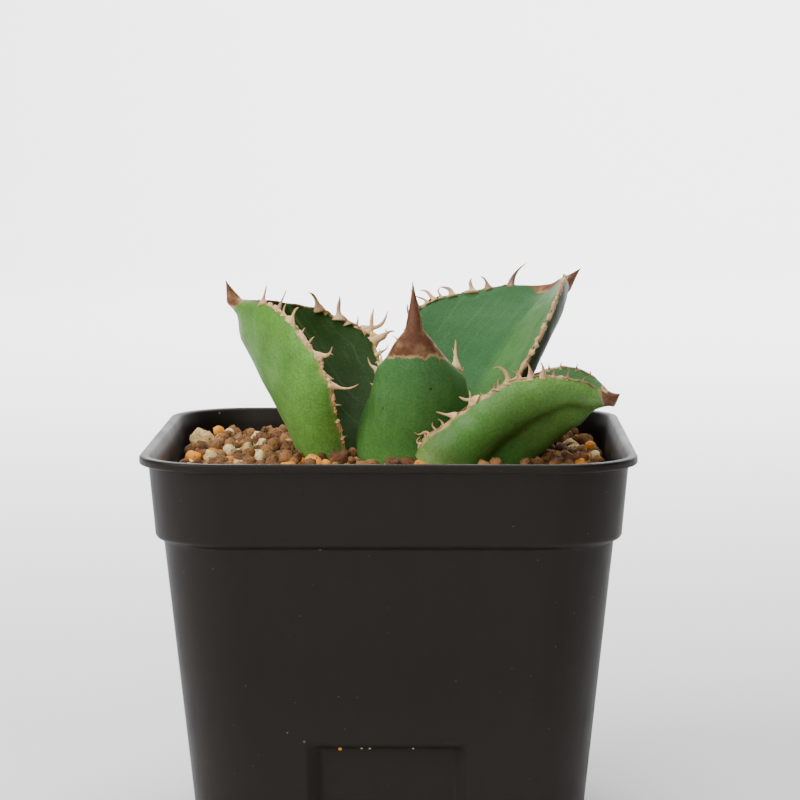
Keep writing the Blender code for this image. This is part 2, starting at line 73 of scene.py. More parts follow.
# --- Surfaces ---------------------------------------------------------------------------------
@dataclass
class Surface:
    """Points, faces and values at the points, as whole arrays, on their way to a mesh."""
    points: np.ndarray
    faces: list[np.ndarray]
    values: dict[str, np.ndarray] = field(default_factory=dict)

    def to_mesh(self, name: str) -> bpy.types.Mesh:
        """The mesh, with each value as an attribute of its points."""
        mesh = bpy.data.meshes.new(name)
        faces = [face for part in self.faces for face in part.tolist()]
        mesh.from_pydata(self.points.tolist(), [], faces)
        for key, value in self.values.items():
            kind, label = ("FLOAT", "value") if value.ndim == 1 else ("FLOAT_VECTOR", "vector")
            layer = mesh.attributes.new(key, kind, "POINT")
            layer.data.foreach_set(label, value.astype(np.float32).ravel())
        return mesh

    def to_object(self, name: str, finish: bpy.types.Material, slot: str,
                  stands_for: tuple[str, ...] = ()) -> bpy.types.Object:
        """Make the mesh object, hang it on the root body, and hide the CAD nodes that it replaces.

        Args:
            name: the piece's name.
            finish: its material.
            slot: the record's material slot for its finish; not used.
            stands_for: the CAD nodes that it replaces.

        Returns:
            The new object, at the origin, with its place in its mesh.
        """
        mesh = self.to_mesh(name)
        mesh.materials.append(finish)
        mesh.shade_smooth()
        piece = bpy.data.objects.new(name, mesh)
        bpy.context.scene.collection.objects.link(piece)
        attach(piece, BODY)
        if stands_for:
            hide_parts(*stands_for)
        LOG.info("%s: %d points", name, len(self.points))
        return piece


def joined(surfaces: list[Surface]) -> Surface:
    """Put several surfaces that carry the same values into one."""
    starts = np.cumsum([0] + [len(s.points) for s in surfaces[:-1]])
    faces = [part + start for s, start in zip(surfaces, starts) for part in s.faces]
    keys = surfaces[0].values
    return Surface(np.concatenate([s.points for s in surfaces]), faces,
                   {k: np.concatenate([s.values[k] for s in surfaces]) for k in keys})


def closed_ring_faces(rows: int, cols: int) -> list[np.ndarray]:
    """Faces of a grid that closes round its rows, with a pole point after it at either end.

    Args:
        rows: rings of points.
        cols: points on each ring, anticlockwise seen from the last ring.

    Returns:
        The quads of the wall, and the triangles of the two fans; the first pole is point
        rows * cols and the last is the one after it.
    """
    ring = np.arange(cols)
    after = np.roll(ring, -1)
    row = np.arange(rows - 1)[:, None] * cols
    quads = np.stack([row + ring, row + after, row + cols + after, row + cols + ring], -1)
    first, last = rows * cols, rows * cols + 1
    top = (rows - 1) * cols
    fans = np.concatenate([np.stack([after, ring, np.full(cols, first)], -1),
                           np.stack([top + ring, top + after, np.full(cols, last)], -1)])
    return [quads.reshape(-1, 4), fans]


def closed_grid(points: np.ndarray, ends: np.ndarray,
                values: dict[str, np.ndarray] | None = None) -> Surface:
    """A surface of rings, closed by a pole at either end.

    Args:
        points: rings by points round each, anticlockwise seen from the last ring.
        ends: the first and the last pole.
        values: named values of the points, ring after ring; a pole takes the one next to it.

    Returns:
        The closed surface.
    """
    spread = {k: np.concatenate([v, v[:1], v[-1:]]) for k, v in (values or {}).items()}
    return Surface(np.concatenate([points.reshape(-1, 3), ends]),
                   closed_ring_faces(*points.shape[:2]), spread)


def unit(vectors: np.ndarray) -> np.ndarray:
    """Vectors of length one along the last axis."""
    return vectors / np.maximum(np.linalg.norm(vectors, axis=-1, keepdims=True), 1e-12)


def smooth(low: float, high: float, x: np.ndarray) -> np.ndarray:
    """The cubic 3t^2 - 2t^3 from 0 at low to 1 at high."""
    t = np.clip((x - low) / (high - low), 0.0, 1.0)
    return t * t * (3.0 - 2.0 * t)


def ripple(points: np.ndarray, seed: int, wavelength: float, waves: int = 14) -> np.ndarray:
    """A smooth irregular field from about -1 to 1: the mean of plane waves in seeded directions."""
    chance = np.random.default_rng(seed)
    ways = unit(chance.normal(size=(waves, 3))) * chance.uniform(0.6, 1.7, (waves, 1))
    phase = chance.uniform(0.0, 2.0 * math.pi, waves)
    field_sum = np.sin(points @ (ways.T * 2.0 * math.pi / wavelength) + phase).sum(-1)
    return field_sum / math.sqrt(waves)


def spline_weights(x: np.ndarray, count: int) -> np.ndarray:
    """Weights of a cubic B-spline's points, with the net reflected past its ends.

    For the part f of a step past a point, the four weights round it are (1-f)^3 / 6,
    (3f^3 - 6f^2 + 4) / 6, (-3f^3 + 3f^2 + 3f + 1) / 6 and f^3 / 6.

    Args:
        x: places, in steps of the net.
        count: points in the net.

    Returns:
        One row of count weights for each place.
    """
    low = np.clip(np.floor(x).astype(int), 0, count - 2)
    f = x - low
    basis = np.stack([(1 - f) ** 3, 3 * f ** 3 - 6 * f ** 2 + 4,
                      -3 * f ** 3 + 3 * f ** 2 + 3 * f + 1, f ** 3], -1) / 6.0
    wide = np.zeros((len(x), count + 2))
    for k in range(4):
        np.add.at(wide, (np.arange(len(x)), low + k), basis[:, k])
    made = wide[:, 1:-1].copy()
    made[:, 0] += 2.0 * wide[:, 0]
    made[:, 1] -= wide[:, 0]
    made[:, -1] += 2.0 * wide[:, -1]
    made[:, -2] -= wide[:, -1]
    return made


def tube(path: np.ndarray, radii: np.ndarray, side: np.ndarray, cols: int,
         flat: float, age: np.ndarray) -> Surface:
    """A closed round section carried along a path.

    A point is the path's point, plus the radius times cos(a) along the sideways direction and
    flat times sin(a) along the direction square to that and to the path. Both ends are poles.

    Args:
        path: points, one ring each.
        radii: the radius at each ring.
        side: the sideways direction, one or one for each ring.
        cols: points round the section.
        flat: thickness of the section as a share of its width.
        age: the horn's age at each ring.

    Returns:
        The closed surface.
    """
    along = unit(np.gradient(path, axis=0))
    side = np.broadcast_to(side, path.shape)
    side = unit(side - along * (side * along).sum(-1, keepdims=True))
    up = np.cross(along, side)
    angle = np.linspace(0.0, 2.0 * math.pi, cols, endpoint=False)
    ring = (side[:, None] * np.cos(angle)[None, :, None]
            + up[:, None] * (flat * np.sin(angle))[None, :, None])
    return closed_grid(path[:, None] + radii[:, None, None] * ring, path[[0, -1]],
                       {"age": np.repeat(age, cols)})


# --- Node tools -------------------------------------------------------------------------------
class Nodes:
    """A short hand for laying out nodes in a material's or a group's tree."""

    def __init__(self, tree: bpy.types.NodeTree) -> None:
        """Start on a tree."""
        self.tree = tree

    def feed(self, socket: bpy.types.NodeSocket, value) -> None:
        """Link an input from a socket, or set it to a value."""
        if isinstance(value, bpy.types.NodeSocket):
            self.tree.links.new(value, socket)
        else:
            socket.default_value = value

    def add(self, kind: str, inputs: dict | None = None, **settings) -> bpy.types.Node:
        """Add a node, set its properties, and feed or set its inputs.

        Args:
            kind: the node's type name after ShaderNode.
            inputs: input name or number to a value, or to a socket to link from.
            **settings: the node's own properties.

        Returns:
            The node.
        """
        node = self.tree.nodes.new("ShaderNode" + kind)
        for key, value in settings.items():
            setattr(node, key, value)
        for key, value in (inputs or {}).items():
            self.feed(node.inputs[key], value)
        return node

    def attribute(self, name: str, output: str = "Fac") -> bpy.types.NodeSocket:
        """A mesh attribute's socket: Fac for a number, Vector for a vector."""
        return self.add("Attribute", attribute_name=name).outputs[output]

    def math(self, operation: str, a, b=0.0, clamp: bool = False) -> bpy.types.NodeSocket:
        """A Math node's result."""
        return self.add("Math", {0: a, 1: b}, operation=operation, use_clamp=clamp).outputs[0]

    def stretch(self, vector, scale: tuple[float, float, float]) -> bpy.types.NodeSocket:
        """A vector with each part scaled."""
        return self.add("Mapping", {"Vector": vector, "Scale": scale}).outputs[0]

    def noise(self, vector, scale, detail: float = 3.0, rough: float = 0.55,
              distortion: float = 0.0) -> bpy.types.NodeSocket:
        """Fractal noise from 0 to 1; the scale may be a socket."""
        return self.add("TexNoise", {"Vector": vector, "Scale": scale, "Detail": detail,
                                     "Roughness": rough, "Distortion": distortion}).outputs["Fac"]

    def between(self, value, low: float, high: float, to_low: float = 0.0,
                to_high: float = 1.0) -> bpy.types.NodeSocket:
        """A value mapped smoothly from one range to another, and held at its ends."""
        return self.add("MapRange", {"Value": value, "From Min": low, "From Max": high,
                                     "To Min": to_low, "To Max": to_high},
                        interpolation_type="SMOOTHSTEP").outputs[0]

    def mix(self, share, a, b) -> bpy.types.NodeSocket:
        """A colour between two colours or colour sockets."""
        node = self.add("Mix", {0: share}, data_type="RGBA")
        for key, value in ((6, a), (7, b)):
            linked = isinstance(value, bpy.types.NodeSocket)
            self.feed(node.inputs[key], value if linked else (*value, 1.0))
        return node.outputs[2]

    def group(self, tree: bpy.types.NodeTree, inputs: dict) -> bpy.types.Node:
        """Place a node group with its values."""
        return self.add("Group", inputs, node_tree=tree)

    def finish(self, colour, roughness, normal=None, **fixed) -> None:
        """The material's shader: fed colour, roughness and normal, and fixed values by name."""
        inputs = {"Base Color": colour, "Roughness": roughness}
        if normal is not None:
            inputs["Normal"] = normal
        inputs |= {key.replace("_", " "): value for key, value in fixed.items()}
        shader = self.add("BsdfPrincipled", inputs)
        self.add("OutputMaterial", {0: shader.outputs[0]})


def new_material(name: str) -> tuple[bpy.types.Material, Nodes, bpy.types.NodeSocket]:
    """An empty node material, a short hand for its tree, and its Object coordinates."""
    made = bpy.data.materials.new(name)
    made.use_nodes = True
    made.node_tree.nodes.clear()
    n = Nodes(made.node_tree)
    return made, n, n.add("TexCoord").outputs["Object"]


def new_group(name: str, inputs: dict[str, tuple[str, float]],
              outputs: dict[str, str]) -> tuple[bpy.types.NodeTree, Nodes, dict, bpy.types.Node]:
    """A node group with named sockets.

    Args:
        name: the group's name.
        inputs: socket name to its type, Vector or Float, and its first value.
        outputs: socket name to its type.

    Returns:
        The group, a short hand for it, its input sockets by name, and its output node.
    """
    tree = bpy.data.node_groups.new(name, "ShaderNodeTree")
    for label, (kind, value) in inputs.items():
        socket = tree.interface.new_socket(label, in_out="INPUT", socket_type="NodeSocket" + kind)
        if kind == "Float":
            socket.default_value = value
    for label, kind in outputs.items():
        tree.interface.new_socket(label, in_out="OUTPUT", socket_type="NodeSocket" + kind)
    source = tree.nodes.new("NodeGroupInput")
    sink = tree.nodes.new("NodeGroupOutput")
    return tree, Nodes(tree), {label: source.outputs[label] for label in inputs}, sink


def make_pits_group() -> bpy.types.NodeTree:
    """Small round hollows: a mask that is 1 at the middle of some cells and 0 between them."""
    tree, n, ins, sink = new_group(
        "small_pits", {"Vector": ("Vector", 0.0), "Scale": ("Float", 500.0),
                       "Size": ("Float", 0.3), "Share": ("Float", 0.5)}, {"Mask": "Float"})
    cells = n.add("TexVoronoi", {"Vector": ins["Vector"], "Scale": ins["Scale"]})
    pick = n.add("SeparateColor", {0: cells.outputs["Color"]}).outputs[0]
    kept = n.math("LESS_THAN", pick, ins["Share"])
    near = n.math("SUBTRACT", 1.0, n.math("DIVIDE", cells.outputs["Distance"], ins["Size"]),
                  clamp=True)
    tree.links.new(n.math("MULTIPLY", near, kept), sink.inputs["Mask"])
    return tree


def make_grain_group() -> bpy.types.NodeTree:
    """Fine surface grain: fractal noise over a coarser one, from 0 to 1."""
    tree, n, ins, sink = new_group(
        "fine_grain", {"Vector": ("Vector", 0.0), "Scale": ("Float", 1000.0),
                       "Coarse": ("Float", 0.3)}, {"Height": "Float"})
    fine = n.noise(ins["Vector"], ins["Scale"], 4.0, 0.6)
    broad = n.noise(ins["Vector"], n.math("MULTIPLY", ins["Scale"], 0.22), 2.0, 0.5)
    mixed = n.add("Mix", {0: ins["Coarse"], 2: fine, 3: broad}).outputs[0]
    tree.links.new(mixed, sink.inputs["Height"])
    return tree


PITS = make_pits_group()
GRAIN = make_grain_group()


def make_horn_group() -> bpy.types.NodeTree:
    """Woody horn: pale tan when young to dark brown when old, with grain along it."""
    tree, n, ins, sink = new_group(
        "woody_horn", {"Vector": ("Vector", 0.0), "Age": ("Float", 0.3)},
        {"Color": "Color", "Height": "Float"})
    grain = n.noise(ins["Vector"], 1600.0, 4.0, 0.65)
    patch = n.noise(ins["Vector"], 420.0, 2.0, 0.5)
    age = n.math("ADD", ins["Age"], n.math("MULTIPLY", n.math("SUBTRACT", patch, 0.5), 0.9),
                 clamp=True)
    young = n.mix(grain, (0.40, 0.17, 0.040), (0.96, 0.68, 0.34))
    old = n.mix(grain, (0.040, 0.014, 0.006), (0.185, 0.068, 0.026))
    tree.links.new(n.mix(age, young, old), sink.inputs["Color"])
    tree.links.new(grain, sink.inputs["Height"])
    return tree


HORN = make_horn_group()


# --- Finishes ---------------------------------------------------------------------------------
@dataclass(frozen=True)
class LeafSkin:
    """Waxy leaf skin, with a woody cap and spine at the blade's end."""
    name: str
    green: tuple[float, float, float]
    green_high: tuple[float, float, float]      # towards the tip
    inner: tuple[float, float, float]           # the channelled upper face
    cap_at: float                               # share of the length where the woody cap starts
    cap_ragged: float = 0.05                    # how far its border wanders
    cap_dip: float = 0.0                        # how much lower the cap reaches at the margins
    keel_from: float = 2.0                      # where a woody line along the keel starts
    painted_light_band_at: float = 2.0                        # place across where the upper face is painted lighter, as painted light on the fold's near wing
    # The lighter green of that band: painted light, not a colour of the leaf.
    painted_light_band: tuple[float, float, float] = (0.2, 0.3, 0.15)
    spots: float = 0.0                          # share of small dark scars
    streak: float = 0.10                        # pale lengthwise streaks
    gloss: float = 0.26
    cap_rim: float = 0.25                       # age of the horn at the cap's border

    def make(self) -> bpy.types.Material:
        """Build the material."""
        made, n, place = new_material(self.name)
        along, across = n.attribute("along"), n.attribute("across")
        under, arc = n.attribute("under"), n.attribute("arc", "Vector")
        outer = n.mix(n.between(along, 0.15, 0.95), self.green, self.green_high)
        base = n.mix(n.between(along, 0.0, 0.22, 0.55, 0.0), outer, (0.28, 0.36, 0.09))
        # Painted light: past the band's place the upper face takes the lighter band green, for the
        # fold's near wing that faces the light.
        upper_with_painted_light = n.mix(n.between(across, self.painted_light_band_at - 0.08, self.painted_light_band_at + 0.12), self.inner,
                       self.painted_light_band)
        skin = n.mix(n.between(under, 0.25, 0.75), upper_with_painted_light, base)
        broad = n.noise(place, 150.0, 3.0, 0.6)
        skin = n.mix(n.between(broad, 0.35, 0.70, 0.0, 0.30), skin, (0.030, 0.085, 0.022))
        lines = n.noise(n.stretch(arc, (900.0, 45.0, 1.0)), 1.0, 3.0, 0.6)
        skin = n.mix(n.between(lines, 0.52, 0.72, 0.0, self.streak), skin, (0.30, 0.42, 0.16))
        fine = n.noise(place, 2400.0, 3.0, 0.65)
        skin = n.mix(n.between(fine, 0.36, 0.64, 0.0, 0.36), skin, (0.018, 0.055, 0.014))
        fleck = n.group(PITS, {"Vector": place, "Scale": 1900.0, "Size": 0.30, "Share": 0.35})
        skin = n.mix(n.math("MULTIPLY", fleck.outputs[0], 0.14), skin, (0.36, 0.48, 0.20))
        scar = n.group(PITS, {"Vector": place, "Scale": 560.0, "Size": 0.24, "Share": self.spots})
        scarred = n.math("MULTIPLY", n.between(scar.outputs[0], 0.05, 0.45),
                         n.between(along, 0.35, 0.7))
        scab = n.mix(n.between(broad, 0.45, 0.55), (0.25, 0.10, 0.03), (0.030, 0.025, 0.012))
        skin = n.mix(scarred, skin, scab)
        ragged = n.noise(n.stretch(arc, (620.0, 260.0, 1.0)), 1.0, 3.0, 0.6, 0.4)
        edge = n.math("ADD", along, n.math("MULTIPLY", n.math("SUBTRACT", ragged, 0.5),
                                           self.cap_ragged * 4.0))
        dip = n.math("MULTIPLY", n.math("MULTIPLY", across, across), self.cap_dip)
        edge = n.math("ADD", edge, dip)
        keel = n.math("MULTIPLY", n.between(n.math("ABSOLUTE", across), 0.10, 0.02), under)
        keel = n.math("MULTIPLY", keel, n.between(along, self.keel_from, self.keel_from + 0.1))
        cap = n.math("MAXIMUM", keel, n.between(edge, self.cap_at, self.cap_at + 0.018))
        rim = n.between(edge, self.cap_at, self.cap_at + 0.035, self.cap_rim, 0.95)
        age = n.math("ADD", rim, n.between(along, 1.0, 1.18, 0.0, 0.25))
        horn = n.group(HORN, {"Vector": place, "Age": age})
        side = n.between(n.math("ABSOLUTE", across), 0.988, 0.999)
        side = n.math("MULTIPLY", side, n.between(ragged, 0.40, 0.54))
        cork = n.math("MULTIPLY", side, n.between(along, 0.02, 0.10))
        corky = n.group(HORN, {"Vector": place, "Age": n.between(along, 0.84, 0.95, 0.40, 0.95)})
        skin = n.mix(cork, skin, corky.outputs["Color"])
        colour = n.mix(cap, skin, horn.outputs["Color"])
        grain = n.group(GRAIN, {"Vector": place, "Scale": 2600.0, "Coarse": 0.45})
        height = n.math("ADD", n.math("MULTIPLY", grain.outputs[0], 0.6),
                        n.math("MULTIPLY", lines, 0.5))
        bump = n.add("Bump", {"Strength": 0.50, "Distance": 0.0003, "Height": height})
        rough = n.between(broad, 0.3, 0.7, 0.44, 0.56)
        n.finish(colour, rough, bump.outputs[0], Subsurface_Weight=0.12,
                 Subsurface_Scale=0.0015, Subsurface_Radius=(0.6, 1.0, 0.25),
                 Specular_IOR_Level=self.gloss)
        return made


@dataclass(frozen=True)
class Horn:
    """The corky margin, its teeth and hooks."""
    name: str = "horn"

    def make(self) -> bpy.types.Material:
        """Build the material."""
        made, n, place = new_material(self.name)
        horn = n.group(HORN, {"Vector": place, "Age": n.attribute("age")})
        bump = n.add("Bump", {"Strength": 0.45, "Distance": 0.0002,
                              "Height": horn.outputs["Height"]})
        n.finish(horn.outputs["Color"], 0.55, bump.outputs[0], Subsurface_Weight=0.10,
                 Subsurface_Scale=0.0008)
        return made


@dataclass(frozen=True)
class PotPlastic:
    """Satin black moulded plastic with fine dust, and a painted reflection of the floor that
    lightens it towards its foot.
    """
    name: str = "pot_plastic_worn"
    colour: tuple[float, float, float] = (0.0042, 0.0032, 0.0023)

    def make(self) -> bpy.types.Material:
        """Build the material."""
        made, n, place = new_material(self.name)
        cloud = n.noise(n.stretch(place, (1.0, 1.0, 0.45)), 70.0, 4.0, 0.6)
        streaks = n.noise(n.stretch(place, (420.0, 420.0, 16.0)), 1.0, 3.0, 0.6)
        body = n.mix(n.between(cloud, 0.3, 0.7, 0.0, 0.35), self.colour, (0.0058, 0.0046, 0.0036))
        dust = n.group(PITS, {"Vector": place, "Scale": 330.0, "Size": 0.085, "Share": 0.10})
        dusty = n.math("MULTIPLY", n.between(dust.outputs[0], 0.0, 0.4), 0.30)
        lint = n.group(PITS, {"Vector": place, "Scale": 900.0, "Size": 0.16, "Share": 0.05})
        dusty = n.math("MAXIMUM", dusty, n.math("MULTIPLY", lint.outputs[0], 0.18))
        colour = n.mix(dusty, body, (0.36, 0.33, 0.29))
        # Painted reflection: the plastic turns lighter over its lowest 40 mm, standing in for the
        # pale floor reflected near the foot.
        high = n.add("SeparateXYZ", {0: place}).outputs["Z"]
        colour = n.mix(n.between(high, 0.040, 0.0, 0.0, 0.6), colour, (0.016, 0.013, 0.011))
        peel = n.group(GRAIN, {"Vector": place, "Scale": 1500.0, "Coarse": 0.6})
        bump = n.add("Bump", {"Strength": 0.12, "Distance": 0.0002, "Height": peel.outputs[0]})
        worn = n.math("ADD", n.between(cloud, 0.3, 0.7, 0.42, 0.52),
                      n.between(streaks, 0.5, 0.75, 0.0, 0.06))
        n.finish(colour, worn, bump.outputs[0], Specular_IOR_Level=0.22,
                 Specular_Tint=(1.0, 0.90, 0.80, 1.0))
        return made


@dataclass(frozen=True)
class Mineral:
    """A pitted grain of grit; each grain has a tone of its own."""
    name: str
    dark: tuple[float, float, float]
    light: tuple[float, float, float]
    stain: tuple[float, float, float]
    pits: float                                 # share of the surface that is pitted

    def make(self) -> bpy.types.Material:
        """Build the material."""
        made, n, place = new_material(self.name)
        body = n.mix(n.attribute("tone"), self.dark, self.light)
        patch = n.noise(place, 520.0, 4.0, 0.65)
        body = n.mix(n.between(patch, 0.50, 0.72, 0.0, 0.8), body, self.stain)
        hole = n.group(PITS, {"Vector": place, "Scale": 1900.0, "Size": 0.5, "Share": self.pits})
        grain = n.group(GRAIN, {"Vector": place, "Scale": 3200.0, "Coarse": 0.5})
        body = n.mix(n.math("MULTIPLY", hole.outputs[0], 0.75), body, self.stain)
        height = n.math("SUBTRACT", grain.outputs[0], hole.outputs[0])
        bump = n.add("Bump", {"Strength": 0.9, "Distance": 0.0003, "Height": height})
        n.finish(body, 0.93, bump.outputs[0])
        return made


@dataclass(frozen=True)
class Flesh:
    """The pale stem between the leaf bases."""
    name: str = "stem_flesh_pale"

    def make(self) -> bpy.types.Material:
        """Build the material."""
        made, n, place = new_material(self.name)
        grain = n.group(GRAIN, {"Vector": place, "Scale": 700.0, "Coarse": 0.5})
        colour = n.mix(grain.outputs[0], (0.16, 0.20, 0.07), (0.42, 0.44, 0.22))
        bump = n.add("Bump", {"Strength": 0.5, "Distance": 0.0003, "Height": grain.outputs[0]})
        n.finish(colour, 0.6, bump.outputs[0])
        return made


@dataclass(frozen=True)
class Paper:
    """The plain pale studio sweep."""
    name: str = "studio_paper"

    def make(self) -> bpy.types.Material:
        """Build the material."""
        made, n, place = new_material(self.name)
        tint = n.mix(n.noise(place, 1.5, 1.0), (0.80, 0.80, 0.815), (0.83, 0.83, 0.84))
        n.finish(tint, 0.85)
        return made


# --- Leaves -----------------------------------------------------------------------------------
CROWN = np.array((2.0, 0.0, 67.0)) * MM
MARGIN_THICKNESS = 0.9 * MM
SPINE_RADIUS = 0.9 * MM
STATIONS = np.array((0.0, 0.05, 0.19, 0.36, 0.54, 0.71, 0.87, 1.0))    # shares of the length
SPINE_STATIONS = np.array((0.14, 0.32, 0.55, 0.8, 1.0))               # shares of the spine
SECTION_POINTS = 12
BLADE_ROWS, SPINE_ROWS, BLADE_COLS = 190, 44, 112
TOOTH_RINGS, TOOTH_COLS = 18, 9
STRIP_RINGS, STRIP_COLS = 260, 10
LEAST_RADIUS = 0.02 * MM        # of horn that runs out


@dataclass(frozen=True)
class Tooth:
    """One marginal tooth. Leans and turns are in degrees; a lean of 90 lies towards the tip."""
    place: float                # share of the blade's length
    length: float               # mm
    lean: float                 # from straight out
    curl: float = 0.0           # how far it turns towards the tip along its length
    lift: float = 8.0           # out of the blade's upper face
    stout: float = 1.0          # thickness against a usual tooth's
    age: float = 0.25           # 0 pale, 1 dark
    sway: float = 22.0          # how far it wavers


@dataclass(frozen=True)
class Furrow:
    """A lengthwise hollow, usually on the lower face; a negative depth is a ridge."""
    across: float               # where across the blade, -1 to 1
    width: float
    depth: float                # mm
    start: float = 0.10
    end: float = 0.92
    upper: bool = False         # on the upper face instead


@dataclass(frozen=True)
class Strip:
    """The corky edge of one margin."""
    start: float
    end: float
    radius: float               # mm
    age: float = 0.25
    knobs: float = 0.3          # how uneven it is


def direction(azimuth: np.ndarray, rise: np.ndarray) -> np.ndarray:
    """Unit vectors (cos r cos a, cos r sin a, sin r) for azimuths a and slopes r, in degrees."""
    turn, up = np.radians(azimuth), np.radians(rise)
    return np.stack([np.cos(up) * np.cos(turn), np.cos(up) * np.sin(turn), np.sin(up)], -1)


@dataclass(frozen=True)
class Blade:
    """One leaf. Pairs are the values at the base and at the tip; lengths are millimetres."""
    node: str
    seat: tuple[float, float]               # from the crown: distance, azimuth
    azimuth: tuple[float, float]            # at the base, and how far it turns by the tip
    rise: tuple[float, float]
    length: float
    half: tuple[float, float]               # half width at the base and at the widest place
    widest_at: float
    outline: tuple[float, float]            # power and bluntness of the narrowing
    curl: tuple[float, float]
    fold: float
    thickness: tuple[float, float]
    roll: tuple[float, float]
    spine: tuple[float, float]              # length, and slope above the blade's end
    skin: LeafSkin
    strips: dict[Margin, Strip]
    teeth: dict[Margin, tuple[Tooth, ...]]
    furrows: tuple[Furrow, ...] = ()
    seed: int = 1
    spine_hook: float = 0.0                 # sideways bend of the spine, degrees
    spine_root: float = 1.5                 # radius that the spine's net starts from
    tip_drift: float = 0.0                  # sideways shift of the blade's end, mm

    def midline(self, s: np.ndarray) -> np.ndarray:
        """Midline points: the seat plus the running sum of the heading times the length."""
        fine = (np.arange(400) + 0.5) / 400.0
        steps = self.heading(fine) * (self.length * MM / 400.0)
        track = np.concatenate([np.zeros((1, 3)), np.cumsum(steps, 0)])
        seat = CROWN + self.seat[0] * MM * direction(np.array(self.seat[1]), np.array(0.0))
        turn = math.radians(self.azimuth[0])
        drift = np.array((math.sin(turn), -math.cos(turn), 0.0)) * self.tip_drift * MM
        return (seat + np.stack([np.interp(s * 400.0, np.arange(401), track[:, k])
                                 for k in range(3)], -1)
                + smooth(0.62, 1.0, s)[:, None] * drift)

    def heading(self, s: np.ndarray) -> np.ndarray:
        """The midline's direction."""
        return direction(self.azimuth[0] + self.azimuth[1] * s,
                         self.rise[0] + (self.rise[1] - self.rise[0]) * s)

    def frame(self, s: np.ndarray) -> tuple[np.ndarray, np.ndarray]:
        """Sideways and upward unit vectors of the blade, turned by its roll."""
        turn = np.radians(self.azimuth[0] + self.azimuth[1] * s)
        side = np.stack([np.sin(turn), -np.cos(turn), np.zeros_like(turn)], -1)
        up = np.cross(side, self.heading(s))
        roll = np.radians(self.roll[0] + (self.roll[1] - self.roll[0]) * s)[:, None]
        return side * np.cos(roll) + up * np.sin(roll), up * np.cos(roll) - side * np.sin(roll)

    def half_width(self, s: np.ndarray) -> np.ndarray:
        """Outline: a smooth swell, then (1 - x^power)^blunt down to a narrow end."""
        base, most = self.half
        swell = base + (most - base) * smooth(0.0, self.widest_at, s)
        x = np.clip((s - self.widest_at) / (1.0 - self.widest_at), 0.0, 1.0)
        narrow = (1.0 - x ** self.outline[0]) ** self.outline[1]
        return np.where(s < self.widest_at, swell, most * (0.12 + 0.88 * narrow)) * MM

    def section(self, s: np.ndarray, u: np.ndarray) -> tuple[np.ndarray, np.ndarray, np.ndarray]:
        """Sideways place, height and slope of the upper face.

        At v across, the slope is curl * v^fold. The place is the half width times the sum of
        the slope's cosine from the middle to u, and the height the same of its sine.

        Args:
            s: shares of the length, one for each row.
            u: places across, -1 to 1, one for each column.

        Returns:
            Three arrays, rows by columns.
        """
        fine = np.linspace(0.0, 1.0, 65)
        curl = np.radians(self.curl[0] + (self.curl[1] - self.curl[0]) * s)[:, None]
        slopes = curl * fine ** self.fold
        at = np.abs(u) * 64.0
        low = np.minimum(at.astype(int), 63)

        def run(values: np.ndarray) -> np.ndarray:
            """The running sum from the middle, read at u."""
            steps = (values[:, 1:] + values[:, :-1]) / 128.0
            total = np.concatenate([np.zeros((len(s), 1)), np.cumsum(steps, 1)], 1)
            return total[:, low] * (1.0 - (at - low)) + total[:, low + 1] * (at - low)

        sign = np.where(u >= 0, 1.0, -1.0)
        reach = self.half_width(s)[:, None]
        return (sign * reach * run(np.cos(slopes)), reach * run(np.sin(slopes)),
                sign * curl * np.abs(u) ** self.fold)

    def swelling(self, s: np.ndarray, u: np.ndarray) -> np.ndarray:
        """How far the margin stands out at its teeth: a sum of bells, only near the edges."""
        total = np.zeros((len(s), len(u)))
        for margin, teeth in self.teeth.items():
            near = smooth(0.70, 1.0, u * margin.value)[None, :]
            for tooth in teeth:
                reach = (0.9 + 0.22 * tooth.length) * MM
                bell = np.exp(-((s - tooth.place) * self.length * MM / reach) ** 2)
                total += near * (bell * min(0.9, 0.16 * tooth.length) * MM)[:, None]
        return total

    def plain(self, s: np.ndarray, u: np.ndarray, below: np.ndarray) -> dict[str, np.ndarray]:
        """Points of the plain blade, with the directions at them.

        The upper face is midline + side * place + up * height. Going down by below takes the
        point against the face's normal by below * (thickness * sqrt(1 - u^2) + the margin's).
        """
        side, up = (v[:, None] for v in self.frame(s))
        across, height, slope = (v[..., None] for v in self.section(s, u))
        outward = (side * np.cos(slope) * np.where(u >= 0, 1.0, -1.0)[None, :, None]
                   + up * np.sin(np.abs(slope)))
        normal = up * np.cos(slope) - side * np.sin(slope)
        thick = (self.thickness[0] + (self.thickness[1] - self.thickness[0]) * s)[:, None] * MM
        depth = thick * np.sqrt(np.clip(1.0 - u * u, 0.0, 1.0)) + MARGIN_THICKNESS
        points = (self.midline(s)[:, None] + side * across + up * height
                  - normal * (depth * below)[..., None])
        return {"points": points, "outward": outward, "normal": normal}

